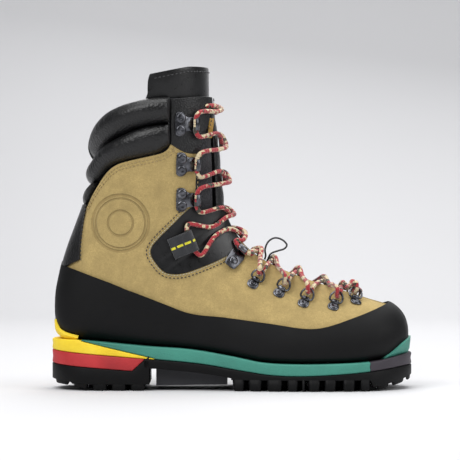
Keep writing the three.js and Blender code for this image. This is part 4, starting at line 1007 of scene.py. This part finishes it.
def pad(name, lower, upper, puff, material, gathers=30, nodes=()):
    """A padded roll of the collar: across it the cover rises in a half round, drawn in along both seams
    with small gathers, and at both ends it closes to an edge."""
    count = 220
    low, high = (polyline(line, count, False) for line in (lower, upper))
    k = np.linspace(0, 1, 15)
    at = low[:, :1] + (high[:, :1] - low[:, :1]) * k
    turn = low[:, 1:] + (high[:, 1:] - low[:, 1:]) * k
    s = np.linspace(-1, 1, count)[:, None]
    end = np.clip((1 - np.abs(s)) / 0.05, 0, 1) ** 0.5
    wave = np.sin(gathers * np.pi * s + 3 * np.sin(5.3 * s)) * np.sin(np.pi * k * 2 + 1.3 * np.sin(9 * s))
    rise = np.sin(np.pi * k) ** 0.62
    depth = 0.2 + end * (puff * rise + 0.15 * wave * np.sin(np.pi * k) + 0.35 * np.sin(7.1 * s) * rise)
    cover = skin(at, turn, depth)
    back = skin(at[:, ::-1], turn[:, ::-1], np.full_like(at, -3.2))
    piece = closed(name, [np.concatenate([cover, back], 1)], material)
    smooth = piece.modifiers.new("smooth", "SUBSURF")
    smooth.levels = smooth.render_levels = 1
    keep(piece, "boot", "black_leather", *nodes)
    return piece


SEAM = [(-116.6, 190.6), (-114, 195), (-107.5, 204), (-97.4, 211), (-87.5, 216), (-76.8, 220), (-65, 222.5),
        (-51.8, 223.8)]
RIM = [(-112.4, 217.5), (-109, 226.5), (-102, 234), (-92, 239), (-82, 242), (-71, 244.5), (-61, 245.6),
       (-51.8, 246)]
PAD_BASE = [(-121.6, 171.4), (-115.6, 175.2), (-106.5, 185.3), (-97.2, 190.6), (-85, 193.9), (-73, 196.5),
            (-61.5, 199.4), (-51.8, 205.6)]
LOW_BASE = [(-126.5, 154.6), (-123.6, 157.2), (-121, 162), (-116, 170.6)]
LOW_TOP = [(-121.8, 170.8), (-119.6, 171), (-117.4, 171.8), (-115, 174)]


def make_collar():
    """Three padded rolls round the collar, and the stitching between them."""
    m = finishes()
    puff = bpy.context.scene.boot_sizes.puff * 1000
    seam = roll_lines(SEAM)
    pad("collar_pad_top", seam, roll_lines(RIM), puff, m["black"], nodes=["collar_roll_top"])
    pad("collar_pad_middle", roll_lines(PAD_BASE), seam, 0.75 * puff, m["black"], nodes=["collar_roll_middle"])
    pad("collar_pad_low", roll_lines(LOW_BASE, 24), roll_lines(LOW_TOP, 24), 4.0, m["black"], gathers=8,
        nodes=["collar_roll_low"])
    stitches("collar_seam_stitching", [(skin(seam[6:-6, 0] + d, seam[6:-6, 1], 2.0 if d < 0 else 2.2),
                                        skin_normal(seam[6:-6, 0], seam[6:-6, 1])) for d in (-0.2, 0.2)],
             m["black_thread"], 2.4, 1.2, 0.4)


def make_tongue():
    """Tongue, its top flap, the trim beside it and the lining."""
    m = finishes()
    at = np.r_[np.linspace(3.2, 12, 70), np.linspace(12, 22.05, 70)[1:]][:, None]
    sides = [edge_turn(at[:, 0], side, THROAT_HALF + 7) for side in (-1, 1)]
    k = np.linspace(0, 1, 41)
    turn = -sides[0][:, None] * (1 - k) + sides[1][:, None] * k
    channel = 0.8 * np.abs(np.sin(at * 2.1)) ** 0.5
    bulge = np.sin(np.pi * k) ** 0.5
    offset = -3.4 + bulge * (1.0 + channel * smoothstep(at, 11, 13))
    piece = leather_panel("tongue_front", at + 0 * turn, turn, offset, 2.6, m["black"], 0.8)
    keep(piece, "boot", "black_leather", "tongue")
    for side, name in ((-1, "lateral"), (1, "medial")):
        lines = [on_side([(x, 212), (x + 2.2, 229)], side, 16) for x in (-19.5, -15.5)]
        keep(leather_panel("tongue_piping_" + name, *between(*lines, 8), -1.7, 0.8, m["gold"], 0.3), "boot",
             "lining_cloth")
    # The upright top: bottom edge inside the collar, top edge rounded off towards both ends.
    half = [(-17.4, 271.6), (-30, 271.8), (-46, 271), (-59, 269.6), (-67.5, 267), (-71, 260), (-71.5, 246)]
    low = [(-13.6, 236), (-22, 236), (-34, 236), (-45, 236), (-56, 236), (-64, 236), (-71.5, 236)]
    edge = both_sides(half, 50)
    at, turn = between(edge, both_sides(low, 50), 30)
    k = np.linspace(0, 1, 30)[:, None]
    # k is 0 at the top edge, which leans forward.
    offset = -6.3 + 3.2 * (1 - k) + 0.8 * np.sin(np.pi * k) ** 0.5
    flap = leather_panel("tongue_top_flap", at, turn, offset, 3.0, m["smooth"], 0.9)
    flap_seam = stitches("flap_edge_stitching", [seam_on(edge[17:-17] - [0.36, 0], 0.0, -2.5)],
                         m["black_thread"], 2.2, 1.3, 0.42, body=None)
    for piece in (flap, flap_seam):
        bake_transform(piece)
    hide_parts("tongue_flap")
    # Lining, from the toes to the rim, open over the tongue.
    rim = [(-20, 244.5), (-48, 244.5), (-70, 242.8), (-84, 240.5), (-98, 236), (-108, 229), (-114.4, 221),
           (-116, 214)]
    columns = 60
    share = np.linspace(0, 1, columns)
    grids = []
    for side in (-1, 1):
        top = on_side(rim, 1, columns)
        top[-1, 1] = 1
        w = np.linspace(0, 1, 70)[:, None]
        at = 5 + (top[:, 0] - 5) * w
        start = edge_turn(at[:, 0], side, THROAT_HALF + 9)[:, None]
        far = (top[:, 1] - top[0, 1]) / (1 - top[0, 1])
        grids.append((at, start + (1 - start) * (share + (far - share) * w)))
    at = np.hstack([grids[0][0], grids[1][0][:, ::-1][:, 1:]])
    turn = np.hstack([-grids[0][1], -2 + grids[1][1][:, ::-1][:, 1:]])
    keep(leather_panel("lining_sock", at, turn, -4.6, 1.7, m["lining"], 0.5), "boot", "lining_cloth", "lining")


# ---- hardware and lace --------------------------------------------------

RINGS = [(104.3, 75.5, -0.3, 1), (86.5, 72.5, 0.46, 0.89), (61.5, 75.5, 0.55, 0.84), (41.5, 84, 0.61, 0.79),
         (19.5, 92, 0.62, 0.79)]
HOOKS = [(-41, 159.5, 1, 0), (-41, 189.2, 1, 0), (-42, 223.8, 1, 0)]
LOCK, STRAP = (1.8, 110, 0.62, 0.78), (-48, 119.5, 0.92, 0.39)
WIRE, RING_WIDTH, RING_REACH, RISE = 0.9, 10.4, 9.0, math.radians(38)
CLIP_LIFT, PLATE, PLATE_LIFT, STRAP_LIFT = 0.5, 1.0, 1.1, 1.2
BAR = CLIP_LIFT + 2
LACE, CHANNEL = 2.0, 2.5
HOOK_REACH, HOOK_LENGTH, LOCK_REACH, LOCK_LENGTH, STRAP_REACH, STRAP_WIDTH = 11, 10, 9.5, 8, 14.5, 18
CROSSINGS = [(93, 85.1), (77, 90), (55, 98), (34, 107.5), (22, 115), (7.5, 129), (-2.5, 146), (-6.6, 175),
             (-9.3, 205), (-12.8, 236)]


def seats(side):
    """Every seat on one side, from the toe up: five rings, the locking eyelet, the strap, three hooks."""
    return [seat_on(x, z, side, dx, dz) for x, z, dx, dz in (*RINGS, LOCK, STRAP, *HOOKS)]


def stamped(outline):
    """A stamped plate: a rounded outline in two levels with a small rolled edge between."""
    p = np.array(outline, float)
    p = polyline(np.vstack([p, p[:1]]), 41)[:-1]
    centre = p.mean(0)
    rings = []
    for z, inset in ((0, 0.15), (0.2, 0), (PLATE - 0.3, 0), (PLATE, 0.3)):
        d = p - centre
        q = centre + d * (1 - inset / np.linalg.norm(d, axis=1, keepdims=True))
        rings.append(np.c_[q, np.full(len(q), z)])
    return np.stack(rings)


def rivet(x, y, radius=3.9):
    """A tubular rivet head: a low dome turned about its axis, with a shallow dimple."""
    angle = np.linspace(0, 2 * np.pi, 28, endpoint=False)
    dome = [(1, -0.3), (1, 0.25), (0.93, 0.62), (0.7, 1.05), (0.42, 1.25), (0.3, 1.12), (0.1, 1.0)]
    return np.stack([np.stack([x + radius * share * np.cos(angle), y + radius * share * np.sin(angle),
                               0 * angle + PLATE + height], 1) for share, height in dome])


def curled(ahead, length, opening, lift=PLATE + CHANNEL, inner=CHANNEL, thick=PLATE):
    """A channel bent from the plate: an arc of it, from under the lace to the opening, rounded at its ends."""
    a = np.linspace(-np.pi / 2, opening, 22)
    mid = inner + thick / 2
    line = np.stack([ahead + mid * np.cos(a), 0 * a, lift + mid * np.sin(a)], 1)
    out = np.stack([np.cos(a), 0 * a, np.sin(a)], 1)
    y = np.array([0, 1, 0])
    w, t = length / 2, thick / 2
    loop = [(-w + 0.3, -t), (w - 0.3, -t), (w, -t + 0.3), (w, t - 0.3), (w - 0.3, t), (-w + 0.3, t), (-w, t - 0.3),
            (-w, -t + 0.3)]
    return np.stack([line + out * r + y * v for v, r in loop], 1)


def wire_loop():
    """The ring: round wire along a closed D, drawn in its own plane and tipped up from the leather."""
    w = RING_WIDTH / 2
    r = RING_REACH
    p = np.array([[0, -2.6], [0, 2.6], [0.1, w - 1.2], [1.2, w], [r * 0.5, w], [r * 0.85, w * 0.62], [r, 0],
                  [r * 0.85, -w * 0.62], [r * 0.5, -w], [1.2, -w], [0.1, -w + 1.2]])
    p = polyline(np.vstack([p[-2:], p, p[:3]]), 400)
    start = int(np.argmin(np.hypot(p[:100, 0], p[:100, 1] + 2.6)))
    end = 250 + int(np.argmin(np.hypot(p[250:, 0], p[250:, 1] + 2.6)))
    p = p[start:end:5]
    tangent = np.roll(p, -1, 0) - np.roll(p, 1, 0)
    tangent /= np.linalg.norm(tangent, axis=1, keepdims=True)
    out = np.stack([tangent[:, 1], -tangent[:, 0], 0 * p[:, 0]], 1)
    angle = np.linspace(0, 2 * np.pi, 12, endpoint=False)
    rings = (np.c_[p, 0 * p[:, 0]][:, None] + WIRE * (np.cos(angle)[None, :, None] * out[:, None]
                                                    + np.sin(angle)[None, :, None] * np.array([0, 0, 1.0])))
    x, y, z = rings[..., 0], rings[..., 1], rings[..., 2]
    turned = np.stack([x * np.cos(RISE) - z * np.sin(RISE), y, x * np.sin(RISE) + z * np.cos(RISE)], -1)
    turned[..., 2] += BAR - CLIP_LIFT
    return np.concatenate([turned, turned[:1]])


def hardware(name, parts, seat, lift, body="boot", node=None, around=False):
    """Closed parts drawn on a seat, made into one steel piece."""
    metal = finishes()["metal"]
    if around:
        points = on_seat(parts[0], seat, lift)
        piece = mesh_object(name, points, grid_faces(*points.shape[:2], wrap=True), metal)
        outward(piece.data)
    else:
        piece = closed(name, [on_seat(p, seat, lift) for p in parts], metal)
    keep(piece, body, "dark_metal", *([node] if node else []))
    return piece


def make_hardware():
    """Ring clips, rings, hooks, locking eyelets and tapes, on both sides."""
    m = finishes()
    clip = [stamped([(-8.6, -2), (-7.2, -4.2), (-4, -4.8), (0, -3.4), (1.6, -3), (1.6, 3), (0, 3.4), (-4, 4.8),
                     (-7.2, 4.2), (-8.6, 2)]),
            rivet(-4.2, 0, 3.9), curled(0, 5.6, np.pi * 1.3, BAR - CLIP_LIFT, 1.2, 0.8)]
    edge = HOOK_LENGTH / 2
    hook = [stamped([(-6, -8.4), (-3, -10.2), (1, -9.4), (4, -6.2), (HOOK_REACH, -edge), (HOOK_REACH, edge), (4, 6.2),
                     (1, 9.4), (-3, 10.2), (-6, 8.4), (-6.4, 0)]),
            rivet(-1.2, -5.0, 4.3), rivet(-1.2, 5.0, 4.3), curled(HOOK_REACH - 0.1, HOOK_LENGTH, np.pi * 0.62)]
    eyelet = [stamped([(-11, -3.2), (-9, -5.4), (3, -6.6), (6, -6), (LOCK_REACH, -4), (LOCK_REACH, 4), (6, 6), (3, 6.6),
                       (-9, 5.4), (-11, 3.2)]),
              rivet(-3.5, 0, 3.9), curled(LOCK_REACH - 0.1, LOCK_LENGTH, np.pi * 0.85)]
    for name, side in (("lateral", -1), ("medial", 1)):
        here = seats(side)
        for i in range(5):
            tag = f"{name}_{i + 1}"
            hardware("clip_" + tag, clip, here[i], CLIP_LIFT, node="ring_clip_" + tag)
            hardware("ring_" + tag, [wire_loop()], here[i], CLIP_LIFT, "ring_" + tag, "lace_ring_" + tag, True)
        hardware("locking_hook_" + name, eyelet, here[5], PLATE_LIFT, node="locking_eyelet_" + name)
        for i in range(3):
            tag = f"{name}_{i + 1}"
            hardware("hook_" + tag, hook, here[7 + i], PLATE_LIFT, node="speed_hook_" + tag)
        make_strap(name, here[6], m["tape"])


def make_strap(name, seat, material):
    """A tape folded round the lace: its path runs out along the leather, round the tunnel and back."""
    turn = np.linspace(-np.pi / 2, np.pi / 2, 18)
    mid = CHANNEL + 0.6
    out = np.stack([np.linspace(-3.5, STRAP_REACH, 16)[:-1], np.full(15, 0.6)], 1)
    bend = np.stack([STRAP_REACH + mid * np.cos(turn), 0.6 + mid + mid * np.sin(turn)], 1)
    back = polyline([(STRAP_REACH, 0.6 + 2 * mid), (STRAP_REACH - 4, 5.4), (STRAP_REACH - 8, 2.5),
                     (STRAP_REACH - 12, 1.9), (-3.5, 1.9)], 20)[1:]
    path = np.vstack([out, bend, back])
    far = np.r_[0, np.cumsum(np.linalg.norm(np.diff(path, axis=0), axis=1))]
    y = np.linspace(-STRAP_WIDTH / 2, STRAP_WIDTH / 2, 13)
    local = np.stack(np.broadcast_arrays(path[:, :1], y[None], path[:, 1:]), -1)
    uv = np.stack(np.broadcast_arrays(far[:, None] / 1000, (y[None] + STRAP_WIDTH / 2) / 1000), -1)
    points = on_seat(local, seat, STRAP_LIFT)
    faces = grid_faces(*points.shape[:2], flip=seat["side"] > 0)
    piece = mesh_object("lace_tape_" + name, points, faces, material, uv)
    wall = piece.modifiers.new("thickness", "SOLIDIFY")
    wall.thickness, wall.offset = 0.0011, 0
    keep(piece, "boot", "webbing", "lace_strap_" + name)


def place(seat, ahead, up, out):
    """A point so many millimetres ahead of a seat, up along it and out from it."""
    return seat["point"] + seat["ahead"] * ahead + seat["up"] * up + seat["normal"] * out


def lace_points():
    """The lace's route: two strands from the bar over the toes up through every stop, crossing as an X."""
    bend = WIRE + 1.25 + LACE
    by_side = {-1: seats(-1), 1: seats(1)}

    def ring(seat):
        """Round the wire's far end, in the plane the ring is tipped to."""
        def at(along, across, up):
            return place(seat, along * math.cos(RISE) - across * math.sin(RISE), up,
                         BAR + along * math.sin(RISE) + across * math.cos(RISE))
        r = RING_REACH
        return [at(r + 2, -bend - 0.8, -0.8), at(r - bend * 0.8, -bend * 0.9, -0.4), at(r - bend, 0, 0),
                at(r - bend * 0.7, bend * 0.74, 0.4), at(r + 2, bend + 1.5, 2)]

    def channel(seat, ahead, length, height):
        """Straight through a curled plate or a tape."""
        h = length / 2
        return [place(seat, ahead + 3, -h - 5, height), place(seat, ahead + 0.2, -h - 1, height),
                place(seat, ahead, 0, height), place(seat, ahead + 0.2, h + 1, height),
                place(seat, ahead + 3, h + 5, height)]

    def stop(side, i):
        """The points at one stop, counted from the toe."""
        seat = by_side[side][i]
        if i < 5:
            return ring(seat)
        if i == 5:
            return channel(seat, LOCK_REACH, LOCK_LENGTH, PLATE_LIFT + CHANNEL + PLATE)
        if i == 6:
            return channel(seat, STRAP_REACH, STRAP_WIDTH, STRAP_LIFT + CHANNEL + 1.2)
        return channel(seat, HOOK_REACH, HOOK_LENGTH, PLATE_LIFT + CHANNEL + PLATE)

    low, high = 0.4, 4.6

    def strand(side):
        """One half of the lace, which changes sides at every crossing."""
        route, here = [], side
        for i, spot in enumerate(CROSSINGS):
            at = float(locate(*spot)[0])
            seat = by_side[here][i]
            if i == 6:
                before = float(locate(*CROSSINGS[5])[0])
                route.append(skin(before + (seat["at"] - before) * 0.55, seat["turn"] * 0.6, 4.4))
            route += stop(here, i)
            if i == 6:
                route.append(skin(at + (seat["at"] - at) * 0.55, seat["turn"] * 0.6, 4.4))
            upper = (i % 2 == 0) == (side < 0)
            after = by_side[-here][i + 1] if i + 1 < len(CROSSINGS) else {
                "at": float(locate(-24, 243)[0]), "turn": -here}
            edge = 3.6 if upper else 2.2
            for which in (seat, None, after):
                if which is None:
                    route.append(skin(at, 0, high if upper else low))
                else:
                    turn = math.copysign(min(0.11, abs(which["turn"]) * 0.5), which["turn"])
                    route.append(skin(at + (which["at"] - at) * 0.4, turn, edge))
            here = -here
        for x, z, depth in ((-20.5, 238.8, 0.6), (-24.5, 238.6, -2.6), (-30, 236.5, -4.2)):
            a, t = locate(x, z)
            route.append(skin(a, here * t, depth))
        return route
    bar = skin(locate(108.5, 80)[0], 0, 2.4)
    return strand(1)[::-1] + [bar] + strand(-1)


def make_lace():
    """Lace: a round braid swept along its route."""
    m = finishes()
    radius = bpy.context.scene.boot_sizes.lace * 500
    path = curve_through(lace_points(), 1.3)
    rings = tube(path, radius, 12, 0.92)
    keep(closed("lace_cord", [rings], m["braid"], tube_uv(path, 12)), "boot", "lace_braid", "lace")


def keeper_points():
    """The keeper loop's route in millimetres, its two ends sewn to the tongue."""
    def sewn(x, z, y):
        """A point just under the leather's surface line, y to one side."""
        p = skin(locate(x, z)[0], 0, -LEATHER)
        return np.array([p[0], THROAT_MIDDLE + y, p[2]])
    loop = [(28.5, 112, -1), (28, 117, -1), (30.5, 123.5, -1), (36, 127, -0.5), (42.5, 125.5, 0), (46.6, 121, 0.6),
            (44.8, 118, 1), (39, 116, 1.2), (33, 113.5, 1.2)]
    return [sewn(28.5, 110, -1)] + [np.array([x, THROAT_MIDDLE + y, z]) for x, z, y in loop] + [sewn(30.8, 109.3, 1.2)]


def make_keeper():
    """Free loop of thin cord at the instep."""
    m = finishes()
    points = curve_through(keeper_points(), 2.2)
    fine = curve_through(keeper_points(), 0.8)
    rings = tube(fine, 0.8, 10)
    piece = keep(closed("keeper_loop", [rings], m["cord"], tube_uv(fine, 10)), "boot", "loop_cord", "cord_loop")


# ---- stage --------------------------------------------------------------

def stand(name, data, at, aim):
    """A lamp or camera put at one place and turned to face another."""
    holder = bpy.data.objects.new(name, data)
    bpy.context.scene.collection.objects.link(holder)
    holder.location = at
    way = Vector(tuple(float(a - b) for a, b in zip(aim, at)))
    holder.rotation_euler = way.to_track_quat("-Z", "Y").to_euler()
    return holder


def make_stage():
    """Paper sweep, lights and the camera."""
    ground_level = FRAME_BOX[0][2]
    y = np.linspace(-1.6, 2.4, 60)
    z = np.where(y > 1.2, (y - 1.2) ** 2 * 1.6, 0.0) + ground_level - 0.0004
    x = np.linspace(-3.5, 3.5, 12)
    points = np.stack(np.broadcast_arrays(x[None], y[:, None], z[:, None]), -1) * 1000
    f = Finish("studio_paper", 0.9)
    f.colour(f.mix(f.noise(400, 2), "#d2d2d4", "#d6d6d8"))
    f.shader.inputs["Specular IOR Level"].default_value = 0.15
    # The paper shows on its upper side only, so that the boot is seen from below and from behind it.
    tree = f.material.node_tree
    upper_side = add_node(tree, "ShaderNodeNewGeometry").outputs["Backfacing"]
    clear = add_node(tree, "ShaderNodeBsdfTransparent").outputs[0]
    mixed = add_node(tree, "ShaderNodeMixShader", {0: upper_side, 1: f.shader.outputs[0], 2: clear})
    shown = next(node for node in tree.nodes if node.type == "OUTPUT_MATERIAL")
    tree.links.new(mixed.outputs[0], shown.inputs["Surface"])
    floor = mesh_object("studio_sweep", points, grid_faces(60, 12), f.material)
    work = bmesh.new()
    work.from_mesh(floor.data)
    for face in work.faces:
        if face.normal.z < 0 and abs(face.normal.z) > 0.01:
            face.normal_flip()
    work.to_mesh(floor.data)
    work.free()
    bpy.context.scene.view_settings.view_transform = "Standard"
    world = bpy.data.worlds.new("studio")
    bpy.context.scene.world = world
    world.use_nodes = True
    background = world.node_tree.nodes["Background"]
    background.inputs["Color"].default_value = linear("#f1f2f4")
    background.inputs["Strength"].default_value = 0.26
    # Name, place in metres, size in metres, power in watts.
    lights = [("key", (-0.75, -1.2, 1.35), 1.1, 22), ("top", (0.1, 0.1, 1.5), 1.5, 20),
              ("side", (1.3, -0.7, 0.8), 0.9, 9), ("back", (0.2, 1.2, 1.0), 1.0, 8)]
    aim = np.array([0, 0, 0.12])
    for name, at, size, power in lights:
        lamp = bpy.data.lights.new(name, "AREA")
        lamp.shape, lamp.size, lamp.energy = "SQUARE", size, power
        stand(name, lamp, at, aim)
    camera = bpy.data.cameras.new("camera")
    camera.lens, camera.sensor_width, camera.clip_start = 220, 36, 0.05
    tilt, far = math.radians(1.0), 2.389
    aim = np.array([-0.0019, -0.004, 0.1339])
    at = aim + far * np.array([0, -math.cos(tilt), math.sin(tilt)])
    bpy.context.scene.camera = stand("camera", camera, at, aim)


# ---- the add-on ---------------------------------------------------------

class BootSizes(bpy.types.PropertyGroup):
    """Sizes of the boot's trim that a user would change."""
    lace: FloatProperty(name="Lace", description="Diameter of the lace", default=0.004, unit="LENGTH")
    puff: FloatProperty(name="Collar padding", description="How far the collar's rolls stand out", default=0.0095,
                        unit="LENGTH")


class BootColours(bpy.types.PropertyGroup):
    """Colours of the boot's main finishes."""
    suede: FloatVectorProperty(name="Suede", description="Colour of the sanded suede", subtype="COLOR", size=3,
                               default=linear("#b49d68")[:3], min=0, max=1)
    midsole: FloatVectorProperty(name="Midsole", description="Colour of the midsole foam", subtype="COLOR", size=3,
                                 default=linear("#3b8676")[:3], min=0, max=1)


class BOOT_OT_stage(bpy.types.Operator):
    """Makes the paper sweep, the lights and the camera."""
    bl_idname = "boot.stage"
    bl_label = "Stage"
    bl_options = {"REGISTER"}

    def execute(self, context):
        make_stage()
        return {"FINISHED"}


class BOOT_OT_keeper(bpy.types.Operator):
    """Makes the thin cord loop on the tongue."""
    bl_idname = "boot.keeper"
    bl_label = "Keeper loop"
    bl_options = {"REGISTER"}

    def execute(self, context):
        make_keeper()
        return {"FINISHED"}


class BOOT_OT_sole(bpy.types.Operator):
    """Makes the tread, heel layers, midsole, toe welt and footbed."""
    bl_idname = "boot.sole"
    bl_label = "Sole"
    bl_options = {"REGISTER"}

    def execute(self, context):
        make_sole()
        return {"FINISHED"}


class BOOT_OT_suede(bpy.types.Operator):
    """Makes the suede upper and its edge stitching."""
    bl_idname = "boot.suede"
    bl_label = "Suede upper"
    bl_options = {"REGISTER"}

    def execute(self, context):
        make_suede()
        return {"FINISHED"}


class BOOT_OT_rand(bpy.types.Operator):
    """Makes the rubber rand and both crampon bumpers."""
    bl_idname = "boot.rand"
    bl_label = "Rand and bumpers"
    bl_options = {"REGISTER"}

    def execute(self, context):
        make_rand()
        return {"FINISHED"}


class BOOT_OT_overlays(bpy.types.Operator):
    """Makes flex panels, hook facings and the back strip."""
    bl_idname = "boot.overlays"
    bl_label = "Leather overlays"
    bl_options = {"REGISTER"}

    def execute(self, context):
        make_overlays()
        return {"FINISHED"}


class BOOT_OT_collar(bpy.types.Operator):
    """Makes the three padded rolls of the collar."""
    bl_idname = "boot.collar"
    bl_label = "Collar"
    bl_options = {"REGISTER"}

    def execute(self, context):
        make_collar()
        return {"FINISHED"}


class BOOT_OT_tongue(bpy.types.Operator):
    """Makes the tongue, its top flap and the lining."""
    bl_idname = "boot.tongue"
    bl_label = "Tongue and lining"
    bl_options = {"REGISTER"}

    def execute(self, context):
        make_tongue()
        return {"FINISHED"}


class BOOT_OT_hardware(bpy.types.Operator):
    """Makes clips, rings, hooks, locking eyelets and lace straps."""
    bl_idname = "boot.hardware"
    bl_label = "Hardware"
    bl_options = {"REGISTER"}

    def execute(self, context):
        make_hardware()
        return {"FINISHED"}


class BOOT_OT_lace(bpy.types.Operator):
    """Makes the lace through every ring, hook and strap."""
    bl_idname = "boot.lace"
    bl_label = "Lace"
    bl_options = {"REGISTER"}

    def execute(self, context):
        make_lace()
        return {"FINISHED"}


OPERATORS = [BOOT_OT_stage, BOOT_OT_keeper, BOOT_OT_sole, BOOT_OT_suede, BOOT_OT_rand, BOOT_OT_overlays,
             BOOT_OT_collar, BOOT_OT_tongue, BOOT_OT_hardware, BOOT_OT_lace]


class BOOT_PT_panel(bpy.types.Panel):
    """The boot's pieces, in the order that they are made."""
    bl_label = "Boot"
    bl_idname = "BOOT_PT_panel"
    bl_space_type = "VIEW_3D"
    bl_region_type = "UI"
    bl_category = "Boot"

    def draw(self, context):
        for made in OPERATORS:
            self.layout.operator(made.bl_idname)
        for group in (context.scene.boot_sizes, context.scene.boot_colours):
            for key in group.bl_rna.properties.keys():
                if key not in ("rna_type", "name"):
                    self.layout.prop(group, key)


CLASSES = [BootSizes, BootColours, *OPERATORS, BOOT_PT_panel]


def register():
    for made in CLASSES:
        bpy.utils.register_class(made)
    bpy.types.Scene.boot_sizes = PointerProperty(type=BootSizes)
    bpy.types.Scene.boot_colours = PointerProperty(type=BootColours)


def unregister():
    del bpy.types.Scene.boot_colours
    del bpy.types.Scene.boot_sizes
    for made in reversed(CLASSES):
        bpy.utils.unregister_class(made)


def main():
    register()
    for made in OPERATORS:
        getattr(bpy.ops.boot, made.bl_idname.split(".")[1])()


if __name__ == "__main__":
    main()
